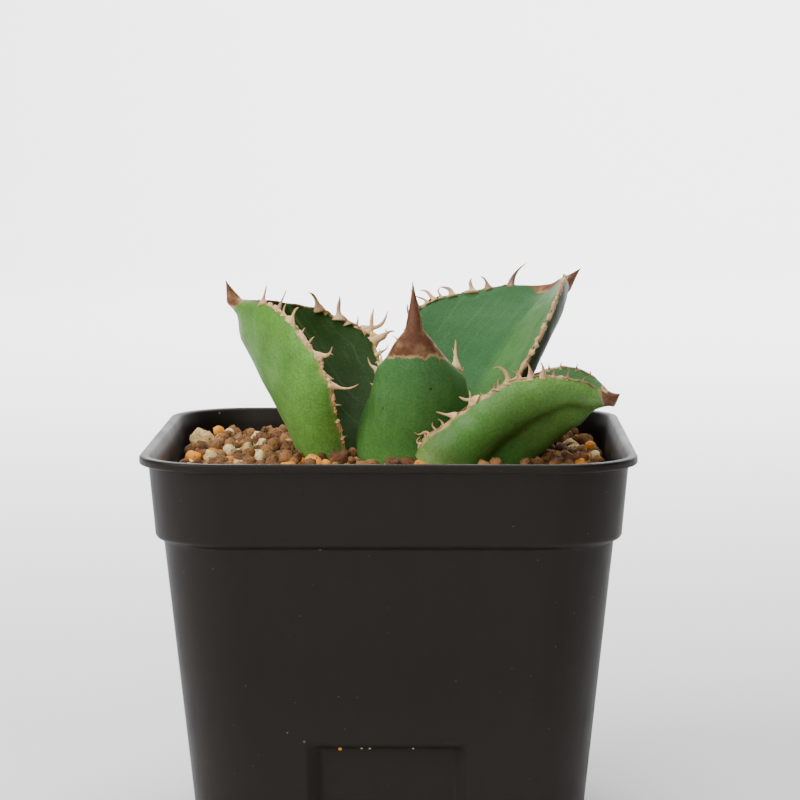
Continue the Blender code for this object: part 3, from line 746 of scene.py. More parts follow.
    def net(self) -> np.ndarray:
        """Control points of the smooth skin: rows along the leaf by places round its section.

        The last rows are circles of the spine, side * -cos a + up * sin a about its track, with
        the radius radius * (1 - t)^1.2 at share t of its length.
        """
        angle = np.arange(SECTION_POINTS) * 2.0 * math.pi / SECTION_POINTS
        level = np.round(np.sin(angle), 6)
        blade = self.plain(STATIONS, -np.cos(angle), 0.5 - 0.5 * np.sign(level))["points"]
        start = self.plain(np.array([1.0]), np.array([0.0]), np.array([0.5]))["points"][0, 0]
        steps = np.diff(np.concatenate([[0.0], SPINE_STATIONS]))[:, None] * self.spine[0] * MM
        rise = self.rise[1] + self.spine[1] * np.minimum(1.0, 2.0 * SPINE_STATIONS)
        azimuth = self.azimuth[0] + self.azimuth[1] + self.spine_hook * SPINE_STATIONS
        axis = direction(azimuth, rise)
        track = start + np.cumsum(axis * steps, 0)
        side = np.broadcast_to(self.frame(np.array([1.0]))[0], axis.shape)
        up = unit(np.cross(side, axis))
        radius = (self.spine_root * MM * (1.0 - SPINE_STATIONS) ** 1.2)[:, None, None]
        circles = track[:, None] + radius * (-np.cos(angle)[None, :, None] * side[:, None]
                                             + np.sin(angle)[None, :, None] * up[:, None])
        return np.concatenate([blade, circles])

    def smooth_skin(self, x: np.ndarray, angle: np.ndarray) -> np.ndarray:
        """Points of the skin: the net's cubic B-spline, creased along both margins.

        Args:
            x: places along the leaf, in rows of the net.
            angle: places round the section; 0 and pi are the margins.

        Returns:
            Points, x by angle.
        """
        net = self.net()
        rows = spline_weights(x, len(net))
        half = SECTION_POINTS // 2
        step = math.pi / half
        upper, lower = angle < math.pi, angle >= math.pi
        low_net = np.concatenate([net[:, half:], net[:, :1]], 1)
        return np.concatenate([
            np.einsum("ri,ijk,cj->rck", rows, net[:, :half + 1],
                      spline_weights(angle[upper] / step, half + 1)),
            np.einsum("ri,ijk,cj->rck", rows, low_net,
                      spline_weights((angle[lower] - math.pi) / step, half + 1))], 1)

    def relief(self, s: np.ndarray, u: np.ndarray, below: np.ndarray,
               points: np.ndarray) -> np.ndarray:
        """Height of the skin over the plain blade: slow swells and furrows."""
        body = smooth(1.0, 0.82, np.abs(u))[None, :]
        ends = (smooth(0.0, 0.08, s) * smooth(1.0, 0.93, s))[:, None]
        slow = 0.22 * ripple(points, self.seed, 0.017) + 0.07 * ripple(points, self.seed + 1, 0.006)
        total = slow * body * ends * MM
        for f in self.furrows:
            reach = (smooth(f.start, f.start + 0.2, s) * smooth(f.end, f.end - 0.15, s))[:, None]
            bell = np.exp(-((u - f.across) / f.width) ** 2) * ((below < 0.5) == f.upper)
            total = total - f.depth * MM * bell[None, :] * reach
        return total

    def build_skin(self) -> Surface:
        """The closed skin from the base to the end of the spine.

        The section is followed round by an angle a: u = -cos a, with the upper face for
        sin a > 0. Relief moves a point along the face's normal, and swellings move it outward.
        """
        angle = np.linspace(0.0, 2.0 * math.pi, BLADE_COLS, endpoint=False)
        u = -np.cos(angle)
        below = 0.5 - 0.5 * np.clip(4.0 * np.sin(angle), -1.0, 1.0)
        last = len(STATIONS) - 1.0
        x = np.concatenate([np.linspace(0.0, last, BLADE_ROWS),
                            np.linspace(last, last + len(SPINE_STATIONS), SPINE_ROWS + 1)[1:]])
        points = self.smooth_skin(x, angle)
        s = np.interp(x, np.arange(len(STATIONS)), STATIONS)
        plain = self.plain(s, u, below)
        lift = (1.0 - 2.0 * below)[None, :] * self.relief(s, u, below, points)
        fade = smooth(last, last - 0.3, x)[:, None]
        points = (points + plain["normal"] * (lift * fade)[..., None]
                  + plain["outward"] * (self.swelling(s, u) * fade)[..., None])
        spine_share = np.interp(x, last + np.arange(len(SPINE_STATIONS) + 1),
                                np.concatenate([[0.0], SPINE_STATIONS]))
        along = s + spine_share * self.spine[0] / self.length
        flat = (x <= last).astype(float)
        wide = np.maximum(self.half_width(s), SPINE_RADIUS)
        ring = {"along": np.repeat(along, BLADE_COLS), "across": (flat[:, None] * u).ravel(),
                "under": np.tile(below, len(x))}
        ring["arc"] = np.stack([(wide[:, None] * u[None, :]).ravel(),
                                ring["along"] * self.length * MM, ring["under"] * 0.01], -1)
        ends = np.stack([points[0].mean(0), points[-1].mean(0)])
        return closed_grid(points, ends, ring)

    def edge(self, margin: Margin, s: np.ndarray) -> tuple[np.ndarray, ...]:
        """The margin's points, and outward, tipward and upper-face directions along it.

        Outward is square to the margin: o - t (o . t), with t tipward along the margin.
        """
        u = np.array([float(margin.value)])
        turn = np.array([0.0 if margin is Margin.FIRST else math.pi])
        plain = self.plain(s, u, np.array([0.5]))
        outward, normal = plain["outward"][:, 0], plain["normal"][:, 0]

        def place(share: np.ndarray) -> np.ndarray:
            """Points of the smooth margin."""
            x = np.interp(share, STATIONS, np.arange(len(STATIONS)))
            return self.smooth_skin(x, turn)[:, 0]

        step = 1e-3
        ahead, behind = place(np.minimum(s + step, 1.0)), place(np.maximum(s - step, 0.0))
        points = place(s) + outward * self.swelling(s, u)
        tipward = unit(ahead - behind)
        square = unit(outward - tipward * (outward * tipward).sum(-1, keepdims=True))
        return points, square, tipward, normal

    def build_tooth(self, margin: Margin, tooth: Tooth, seed: int) -> Surface:
        """A curved tooth: a round section along a path whose lean grows by curl to its end."""
        chance = np.random.default_rng(seed)
        base, outward, tipward, normal = (v[0] for v in self.edge(margin, np.array([tooth.place])))
        t = np.linspace(0.0, 1.0, TOOTH_RINGS)
        sway = tooth.sway * chance.uniform(0.5, 1.2)
        sway = sway * np.sin(2.0 * math.pi * (t * 0.9 + chance.random()))
        lean = np.radians(tooth.lean + tooth.curl * t * t + sway * smooth(0.0, 0.4, t))
        lift = np.radians(tooth.lift + 24.0 * (t - 0.3) * chance.uniform(-1.0, 1.0))
        flat = outward[None] * np.cos(lean)[:, None] + tipward[None] * np.sin(lean)[:, None]
        way = flat * np.cos(lift)[:, None] + normal[None] * np.sin(lift)[:, None]
        way[0] = outward
        sunk = 0.7 * MM
        steps = np.diff(np.concatenate([[0.0], t]))[:, None]
        path = base - outward * sunk + np.cumsum(way * steps * (tooth.length * MM + sunk), 0)
        thick = (0.22 + 0.040 * tooth.length) * tooth.stout * MM
        lumps = 1.0 + 0.16 * np.sin(9.0 * t + chance.uniform(0.0, 6.0))
        flare = 1.0 + 1.2 * np.exp(-(t / 0.24) ** 2)
        radii = thick * lumps * (1.0 - t) ** 0.7 * flare + LEAST_RADIUS
        age = np.clip(tooth.age + 0.15 + 0.45 * (t - 0.5), 0.0, 1.0)
        return tube(path, radii, tipward, TOOTH_COLS, 0.72, age)

    def build_strip(self, margin: Margin, strip: Strip) -> Surface:
        """The corky edge: an uneven round section along the margin."""
        s = np.linspace(strip.start, strip.end, STRIP_RINGS)
        path, outward, _, normal = self.edge(margin, s)
        rough = ripple(path, self.seed + 7, 0.0022) + 0.6 * ripple(path, self.seed + 8, 0.0009)
        share = (s - strip.start) / (strip.end - strip.start)
        taper = smooth(0.0, 0.06, share) * smooth(1.0, 0.96, share)
        radii = strip.radius * MM * np.clip(1.0 + strip.knobs * rough, 0.08, 2.2) * taper
        wander = 0.22 * MM * ripple(path, self.seed + 9, 0.0035)[:, None] * normal
        age = strip.age + 0.3 * ripple(path, self.seed + 10, 0.004) + 0.7 * smooth(0.84, 0.96, s)
        return tube(path + wander - outward * 0.1 * MM, radii + LEAST_RADIUS, normal,
                    STRIP_COLS, 0.8, np.clip(age, 0.0, 1.0))

    def low_points(self) -> np.ndarray:
        """Points all round the blade's lower part, which the grit keeps clear of."""
        angle = np.linspace(0.0, 2.0 * math.pi, 48, endpoint=False)
        return self.smooth_skin(np.linspace(0.0, 5.0, 50), angle).reshape(-1, 3)

    def build(self, horn: bpy.types.Material) -> None:
        """Make the skin, which stands for the CAD leaf, and the horn on its margins."""
        self.build_skin().to_object(f"{self.node}_skin", self.skin.make(), "leaf_skin",
                                    (self.node,))
        parts = [self.build_strip(margin, strip) for margin, strip in self.strips.items()]
        for margin, teeth in self.teeth.items():
            parts += [self.build_tooth(margin, tooth, self.seed * 100 + k)
                      for k, tooth in enumerate(teeth)]
        joined(parts).to_object(f"{self.node}_horn", horn, "leaf_horn")


T = Tooth
BLADES = (
    Blade("leaf_left", (10.7, 174.0), (165.5, 3.0), (56.5, 58.5), 39.0, (8.4, 23.0), 0.44,
          (2.8, 0.71), (78.5, 51.5), 0.8, (5.1, 1.3), (10.5, -8.5), (5.2, 10.0),
          LeafSkin("leaf_left_skin", (0.195, 0.455, 0.075), (0.085, 0.220, 0.024),
                   # Painted shade: the near-black inner green stands in for shadow in the channel
                   # of the upper face.
                   (0.015, 0.038, 0.003), 0.985, 0.012, cap_dip=-0.05, keel_from=0.80, gloss=0.15),
          {Margin.FIRST: Strip(0.08, 0.975, 0.24, 0.05, 1.0),
           Margin.SECOND: Strip(0.45, 0.98, 0.22, 0.5)},
          {Margin.FIRST: (T(0.92, 3.6, 28, 10, age=0.4, stout=1.3, sway=8),
                          T(0.85, 3.6, -8, 40, age=0.35, sway=10),
                          T(0.81, 2.0, 25, age=0.3), T(0.765, 2.8, 5, -40, stout=1.5, age=0.1),
                          T(0.74, 1.8, 30, 20), T(0.68, 1.4, 10, -40), T(0.62, 2.0, -20, 50),
                          T(0.545, 4.2, -20, 40, stout=1.2, age=0.05), T(0.52, 3.2, 15, -80),
                          T(0.44, 1.6, -30), T(0.385, 5.6, -25, 50, stout=0.8, age=0.0, sway=8),
                          T(0.30, 1.2, -20), T(0.15, 0.8, 0)),
           Margin.SECOND: (T(0.79, 4.2, 28, 75, stout=1.6, age=0.6, sway=8),
                           T(0.76, 1.6, 54, age=0.5),
                           T(0.70, 4.4, 24, 15, stout=1.6, age=0.3, sway=12),
                           T(0.655, 2.4, 50, 50, stout=1.4, age=0.4),
                           T(0.62, 2.0, 11, 60), T(0.59, 6.6, -25, 40, stout=1.1, age=0.05),
                           T(0.565, 5.0, 10, 60, stout=1.3, age=0.1),
                           T(0.54, 4.0, -50, 110, stout=1.7, age=0.0),
                           T(0.51, 4.6, 5, -60, stout=1.9, age=0.0), T(0.44, 3.0, 0, 60, age=0.1))},
          (Furrow(0.0, 0.45, -1.9, 0.05, 0.98),), seed=11, spine_root=1.9),
    Blade("leaf_right", (11.0, 47.4), (50.0, -1.0), (60.0, 27.0), 50.2, (9.0, 22.0), 0.60,
          (2.0, 1.05), (47.0, 41.0), 0.6, (6.5, 1.6), (-12.5, 17.5), (8.2, 4.0),
          # Painted shade: the lower face's near-black greens stand in for that face lying in
          # shadow.
          LeafSkin("leaf_right_skin", (0.010, 0.020, 0.006), (0.011, 0.021, 0.007),
                   (0.042, 0.122, 0.043), 0.925, 0.015, cap_dip=-0.035, cap_rim=0.85,
                   streak=0.06, gloss=0.06, keel_from=0.80,
                   # Painted light: the lighter band on the upper face's near wing.
                   painted_light_band_at=0.02, painted_light_band=(0.074, 0.180, 0.050)),
          {Margin.FIRST: Strip(0.25, 0.97, 0.15, 0.55, 0.6),
           Margin.SECOND: Strip(0.12, 0.93, 0.26, 0.25, 0.75)},
          {Margin.FIRST: (T(0.93, 6.6, 18, 40, lift=0, age=0.85, sway=4),
                          T(0.88, 3.2, -10, -40, stout=1.4, age=0.75, sway=10),
                          T(0.83, 3.0, 8, 10, stout=2.0, age=0.15, sway=14),
                          T(0.77, 3.4, 5, -100, stout=1.6, age=0.3),
                          T(0.735, 2.2, 10, 40, age=0.4), T(0.71, 3.8, 0, -90, stout=1.2, age=0.2),
                          T(0.68, 2.8, 0, -60, age=0.3),
                          T(0.63, 4.6, 25, 10, stout=0.8, age=0.8), T(0.58, 3.0, 20, 40, age=0.5),
                          T(0.44, 2.0, 20), T(0.34, 1.5, 0)),
           Margin.SECOND: (T(0.82, 1.2, -40, age=0.4), T(0.76, 1.8, -60, -30),
                           T(0.72, 1.0, -20), T(0.69, 1.6, -50), T(0.65, 1.2, -30, age=0.5),
                           T(0.62, 2.0, -70, -20, age=0.4), T(0.58, 1.2, -70),
                           T(0.54, 2.4, -80, -20, age=0.4), T(0.48, 1.6, -80),
                           T(0.44, 1.9, -80, -30), T(0.40, 2.1, -75, -20), T(0.30, 1.4, -40))},
          (Furrow(0.04, 0.05, 0.45, upper=True), Furrow(0.16, 0.10, -0.35, upper=True)),
          seed=23, spine_root=2.3),
    Blade("leaf_front", (6.5, -66.0), (-79.0, 0.0), (64.0, 84.0), 29.5, (10.5, 13.0), 0.22,
          (1.45, 0.80), (55.0, 60.0), 0.9, (5.0, 3.0), (0.0, 6.0), (10.6, 2.0),
          LeafSkin("leaf_front_skin", (0.095, 0.260, 0.045), (0.058, 0.170, 0.044),
                   (0.022, 0.060, 0.012), 0.88, 0.025, spots=0.30, cap_dip=0.06),
          {Margin.FIRST: Strip(0.40, 0.90, 0.22, 0.3, 0.5),
           Margin.SECOND: Strip(0.62, 0.90, 0.20, 0.4)},
          {Margin.FIRST: (T(0.72, 6.6, 10, 15, stout=1.5, age=0.0, sway=10),
                          T(0.69, 4.6, 35, 10, age=0.0),
                          T(0.66, 2.6, 20, -30, age=0.1), T(0.60, 4.0, 55, -30, age=0.05),
                          T(0.56, 2.4, 30, -40, age=0.1), T(0.50, 2.2, 40, age=0.1),
                          T(0.44, 1.6, 40, age=0.2)),
           Margin.SECOND: (T(0.77, 3.2, 10, 45, age=0.0), T(0.75, 2.4, 0, -50, age=0.0),
                           T(0.71, 4.6, -5, 30, stout=1.2, age=0.0), T(0.66, 1.8, 20, age=0.1),
                           T(0.61, 1.6, -12, age=0.1))},
          seed=37, spine_root=2.1, spine_hook=-60.0, tip_drift=1.8),
    Blade("leaf_low_right", (14.0, -29.6), (-13.5, 5.0), (52.5, 12.5), 32.5, (14.0, 15.0), 0.54,
          (2.3, 0.82), (72.0, 72.0), 1.0, (7.6, 1.6), (9.0, -3.5), (2.4, 18.0),
          LeafSkin("leaf_low_right_skin", (0.078, 0.215, 0.034), (0.160, 0.330, 0.064),
                   (0.036, 0.105, 0.018), 0.975, 0.012),
          {Margin.FIRST: Strip(0.45, 0.985, 0.18, 0.7),
           Margin.SECOND: Strip(0.0, 0.975, 0.15, 0.6, 0.7)},
          {Margin.FIRST: (T(0.69, 0.9, 8, age=0.7), T(0.76, 0.9, 5, age=0.7),
                          T(0.85, 0.9, 0, age=0.7), T(0.92, 0.8, 0, age=0.7),
                          T(0.58, 0.9, 0, age=0.7), T(0.45, 1.0, 0, age=0.7)),
           Margin.SECOND: (T(0.03, 1.8, 20, 80, stout=0.9, age=0.05),
                           T(0.06, 2.4, -20, 100, stout=0.8, age=0.05, sway=60),
                           T(0.085, 1.6, 50, -80, age=0.05),
                           T(0.11, 3.4, 30, -110, stout=0.8, age=0.05, sway=70),
                           T(0.135, 2.4, 70, 80, stout=0.8, age=0.05, sway=60),
                           T(0.16, 1.6, 0, 60, age=0.1),
                           T(0.20, 1.6, 0), T(0.28, 3.4, -25, -30, stout=1.3, age=0.0),
                           T(0.38, 2.2, 10, 30, stout=1.3, age=0.1),
                           T(0.41, 3.0, -35, -20, stout=1.6, age=0.0),
                           T(0.45, 1.0, 0, age=0.4), T(0.49, 1.5, 35, stout=1.4, age=0.4),
                           T(0.53, 1.8, 32, stout=1.6, age=0.5),
                           T(0.58, 4.4, 30, -140, stout=1.2, age=0.3),
                           T(0.61, 2.2, 50, -90, age=0.3), T(0.64, 1.8, 20, -40),
                           T(0.69, 2.8, 12, -50, stout=1.5, age=0.35, sway=6),
                           T(0.745, 2.6, 8, -50, stout=1.5, age=0.4, sway=6),
                           T(0.79, 1.6, 5, -30, age=0.5), T(0.85, 1.8, 0, age=0.6, sway=6),
                           T(0.91, 1.0, 15, age=0.6))},
          (Furrow(0.42, 0.15, 1.9), Furrow(0.05, 0.20, -1.7), Furrow(-0.30, 0.035, 0.5),
           Furrow(-0.42, 0.09, -0.4)),
          seed=41, spine_root=2.2),
    Blade("leaf_back", (10.5, 106.0), (106.0, 4.0), (40.0, 18.0), 26.0, (8.0, 10.0), 0.50,
          (2.4, 0.72), (55.0, 50.0), 0.9, (5.5, 1.8), (0.0, 0.0), (4.5, 16.0),
          LeafSkin("leaf_back_skin", (0.070, 0.170, 0.024), (0.060, 0.150, 0.028),
                   (0.040, 0.105, 0.024), 0.96, 0.03),
          {Margin.FIRST: Strip(0.2, 0.98, 0.24), Margin.SECOND: Strip(0.2, 0.98, 0.24)},
          {side: tuple(T(place, length, 25, 20) for place, length in
                       ((0.86, 2.0), (0.70, 2.6), (0.54, 2.2), (0.38, 1.8))) for side in Margin},
          seed=53),
)


@dataclass(frozen=True)
class Bud:
    """The closed spear of young leaves at the crown's middle."""
    radius: float = 6.2
    length: float = 23.0
    lean: float = 8.0           # degrees, towards the back
    rows: int = 120
    cols: int = 96

    def build_skin(self, lowest: float) -> Surface:
        """The spear, rolled on itself.

        Its radius at share t is radius * (1 - t^1.7)^0.9. Round it, a rolled edge steps the
        skin in by a twelfth: the radius is scaled by 1 + 0.08 * w, with w the share of the turn.
        """
        t = np.linspace(0.0, 1.0, self.rows)
        turn = np.linspace(0.0, 1.0, self.cols, endpoint=False)
        seam = -0.62 + 0.25 * t[:, None]
        share = np.mod(turn[None, :] - seam, 1.0)
        step = 0.08 * share + 0.05 * np.exp(-((share - 1.0) / 0.02) ** 2)
        radius = self.radius * MM * ((1.0 - t ** 1.7) ** 0.9 + 0.03 * (1.0 - t))[:, None]
        radius = (radius + 0.03 * MM) * (0.95 + step) * (1.0 - 0.25 * smooth(0.25, 0.0, t))[:, None]
        lean = math.radians(self.lean)
        axis = np.array((0.0, math.sin(lean), math.cos(lean)))
        side = np.array((1.0, 0.0, 0.0))
        up = np.cross(axis, side)
        start = CROWN + np.array((0.0, 0.0, lowest - CROWN[2]))
        angle = 2.0 * math.pi * turn
        ring = np.cos(angle)[:, None] * side + np.sin(angle)[:, None] * up
        points = (start + axis * (t * self.length * MM)[:, None, None]
                  + radius[..., None] * ring[None])
        values = {"along": np.repeat(t, self.cols), "across": np.zeros(self.rows * self.cols),
                  "under": np.ones(self.rows * self.cols)}
        values["arc"] = np.stack([np.tile(np.cos(angle), self.rows) * self.radius * MM,
                                  values["along"] * self.length * MM,
                                  np.tile(np.sin(angle), self.rows) * self.radius * MM], -1)
        ends = np.stack([start, start + axis * self.length * MM])
        return closed_grid(points, ends, values)

    def build(self) -> None:
        """Make the spear, which stands for the CAD bud."""
        skin = LeafSkin("bud_skin", (0.110, 0.220, 0.050), (0.070, 0.160, 0.036),
                        (0.1, 0.2, 0.07), 0.93, 0.02)
        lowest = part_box("bud")[0][2]
        self.build_skin(lowest).to_object("bud_skin", skin.make(), "leaf_skin", ("bud",))


# --- Pot --------------------------------------------------------------------------------------
@dataclass(frozen=True)
class PotShell:
    """The square nursery pot. Lengths are millimetres."""
    width: float = 90.0
    height: float = 75.0
    corner: float = 15.0
    tighten: float = 0.35
    wall: float = 0.9
    lip_top: float = 1.5                # width of the lip seen from above
    floor: float = 1.8
    lip_over: float = 1.4
    lip_thick: float = 1.6
    collar: float = 15.0
    collar_draft: float = 1.3
    collar_step: float = 1.3
    draft: float = 5.7          # degrees
    notch_half: float = 14.6
    notch_height: float = 23.0
    notch_depth: float = 2.4
    notch_side: float = 2.7
    notch_top: float = 1.3
    drain_radius: float = 4.0
    drain_spacing: float = 38.0
    corner_cols: int = 14
    fine_step: float = 0.55             # rings' spacing where the arch ends, else the plain step
    plain_step: float = 2.5
    arch_zone: float = 5.0              # how far below the arch's top the fine rings start
    upright: float = 3.0                # the least rise of a run that gets them
    press_from: tuple[float, float] = (22.0, 30.0)      # half widths over which the arch sets in

    def skin_half(self, z: np.ndarray) -> np.ndarray:
        """Half width of the outer skin without the lip, at heights."""
        top = self.width / 2 - self.lip_over
        step = self.height - self.collar
        body = top - self.collar_draft - self.collar_step
        return np.where(z >= step, top - self.collar_draft * (self.height - z) / self.collar,
                        body - math.tan(math.radians(self.draft)) * (step - z))

    def skin_at(self, z: float) -> float:
        """Half width of the outer skin at one height."""
        return float(self.skin_half(np.array(z)))

    def profile(self) -> np.ndarray:
        """The half width and height down the outside, under the foot, and up the inside.

        Returns:
            Points from the underside's middle, up the outer skin, over the lip, down the inner
            skin to the floor's middle, with each corner rounded and long runs divided.
        """
        step, under = self.height - self.collar, self.height - self.lip_thick
        half = self.width / 2
        skin = self.skin_at
        corners = [(0.6, 0.0, 0.0), (10.0, 0.0, 0.0), (24.0, 0.0, 0.0), (skin(0.0), 0.0, 0.5),
                   (skin(step - 0.8), step - 0.8, 0.25), (skin(step), step, 0.6),
                   (skin(under), under, 0.35), (half, under, 0.5), (half, self.height, 0.5),
                   (half - self.lip_top, self.height, 0.6),
                   (skin(under) - self.wall, under - 0.8, 0.9),
                   (skin(step) - self.wall, step, 0.4),
                   (skin(step - 1.5) - self.wall, step - 1.5, 0.4),
                   (skin(self.floor) - self.wall, self.floor, 1.0),
                   (24.0, self.floor, 0.0), (10.0, self.floor, 0.0), (0.6, self.floor, 0.0)]
        points = [np.array(corners[0][:2])]
        for before, here, after in zip(corners, corners[1:], corners[2:]):
            place, radius = np.array(here[:2]), here[2]
            if radius == 0.0:
                points.append(place)
                continue
            back, ahead = np.array(before[:2]) - place, np.array(after[:2]) - place
            back_len, ahead_len = np.linalg.norm(back), np.linalg.norm(ahead)
            cut = min(radius, 0.45 * back_len, 0.45 * ahead_len)
            start, end = place + back / back_len * cut, place + ahead / ahead_len * cut
            for t in np.linspace(0.0, 1.0, 6):
                points.append(start * (1 - t) ** 2 + place * 2 * t * (1 - t) + end * t ** 2)
        points.append(np.array(corners[-1][:2]))
        made = [points[0]]
        for start, end in zip(points, points[1:]):
            length = np.linalg.norm(end - start)
            upright = abs(end[1] - start[1]) > self.upright
            past = min(start[1], end[1]) + length > self.notch_height - self.arch_zone
            longest = self.fine_step if upright and past else self.plain_step
            parts = max(1, int(math.ceil(length / longest)))
            made += [start + (end - start) * k / parts for k in range(1, parts + 1)]
        return np.array(made)

    def columns(self, straight: np.ndarray) -> np.ndarray:
        """Places along one side's straight run; those near the arch stay put.

        Args:
            straight: half the straight run's length, one for each row.

        Returns:
            Rows by columns, from the left end to the right.
        """
        edge = self.notch_half
        fixed = np.concatenate([np.linspace(0.0, edge - self.notch_side - 0.8, 9)[:-1],
                                np.linspace(edge - self.notch_side - 0.8, edge + 1.0, 15)])
        spread = np.linspace(0.0, 1.0, 6)[1:]
        limit = np.minimum(fixed[None, :], straight[:, None] * 0.98 * fixed / fixed[-1])
        limit = np.where((straight > fixed[-1] + 1.0)[:, None], fixed[None, :], limit)
        outer = limit[:, -1:] + (straight[:, None] - limit[:, -1:]) * spread[None, :]
        right = np.concatenate([limit, outer], 1)
        return np.concatenate([-right[:, :0:-1], right], 1)

    def build_shell(self) -> Surface:
        """Rounded squares down the profile, with the arch pressed into both skins of each wall.

        On a side with outward direction o and sideways direction d, a point is half * o +
        place * d; on a corner it is the corner circle's middle plus radius * (cos a, sin a).
        The arch moves a wall's points by -depth * o, with the depth smoothed over its sides.
        """
        half, z = self.profile().T
        skin = self.skin_half(z)
        tight = self.corner - self.tighten * (self.width / 2 - np.maximum(half, skin))
        radius = np.where(half >= skin - 1e-6, tight, tight - (skin - half))
        radius = np.clip(radius, 0.25 * half, half * 0.98)
        straight = np.maximum(half - radius, 0.02)
        along = self.columns(straight)
        ramp_x = np.clip((self.notch_half - np.abs(along)) / self.notch_side, 0.0, 1.0)
        ramp_z = smooth(0.0, 1.0, (self.notch_height - z) / self.notch_top)[:, None]
        press = self.notch_depth * np.minimum(ramp_x, ramp_z)
        press = press * smooth(*self.press_from, half)[:, None]
        turn = np.linspace(0.0, math.pi / 2, self.corner_cols + 2)[1:-1]
        rows = []
        for quarter in range(4):
            angle = quarter * math.pi / 2
            out = np.array((math.cos(angle), math.sin(angle)))
            left = np.array((-out[1], out[0]))
            wall = ((half[:, None] - press)[..., None] * out + along[..., None] * left)
            centre = (half - radius)[:, None] * (out + left)
            corner = (centre[:, None] + radius[:, None, None]
                      * (np.cos(turn)[:, None] * out + np.sin(turn)[:, None] * left)[None])
            rows += [wall, corner]
        flat = np.concatenate(rows, 1)
        points = np.concatenate([flat, np.broadcast_to(z[:, None, None], (*flat.shape[:2], 1))], 2)
        ends = np.array(((0.0, 0.0, z[0]), (0.0, 0.0, z[-1])))
        LOG.info("pot shell: %d rings of %d points", *flat.shape[:2])
        return closed_grid(points * MM, ends * MM)

    def drill(self, piece: bpy.types.Object) -> None:
        """Cut the drain holes through the floor, and keep only the result."""
        reach = self.drain_spacing / 2 * MM
        angle = np.linspace(0.0, 2.0 * math.pi, 32, endpoint=False)
        ring = np.stack([np.cos(angle), np.sin(angle), np.zeros(32)], -1) * self.drain_radius * MM
        heights = np.array((-3.0, self.floor + 3.0)) * MM
        bars = []
        for x, y in ((-1, -1), (1, -1), (1, 1), (-1, 1)):
            middle = np.stack([np.full(2, x * reach), np.full(2, y * reach), heights], -1)
            bars.append(closed_grid(middle[:, None] + ring[None], middle))
        cutter = bpy.data.objects.new("drains", joined(bars).to_mesh("drains"))
        bpy.context.scene.collection.objects.link(cutter)
        cut = piece.modifiers.new("drains", "BOOLEAN")
        cut.object, cut.operation, cut.solver = cutter, "DIFFERENCE", "EXACT"
        bpy.context.view_layer.update()
        done = piece.evaluated_get(bpy.context.evaluated_depsgraph_get())
        piece.data = bpy.data.meshes.new_from_object(done)
        piece.modifiers.clear()
        bpy.data.objects.remove(cutter)

    def build(self) -> None:
        """Make the shell, which stands for the CAD pot."""
        piece = self.build_shell().to_object("pot_shell", PotPlastic().make(), "pot_plastic",
                                             ("pot",))
        self.drill(piece)


# --- Grit -------------------------------------------------------------------------------------
def unit_ball(rows: int, cols: int) -> Surface:
    """A ball of radius one: rings of latitude between two poles, +Z last."""
    lat = -math.pi / 2 + math.pi * (np.arange(rows) + 1) / (rows + 1)
    lon = np.linspace(0.0, 2.0 * math.pi, cols, endpoint=False)
    points = np.stack([np.cos(lat)[:, None] * np.cos(lon), np.cos(lat)[:, None] * np.sin(lon),
                       np.broadcast_to(np.sin(lat)[:, None], (rows, cols))], -1)
    poles = np.array(((0.0, 0.0, -1.0), (0.0, 0.0, 1.0)))
    return closed_grid(points, poles)


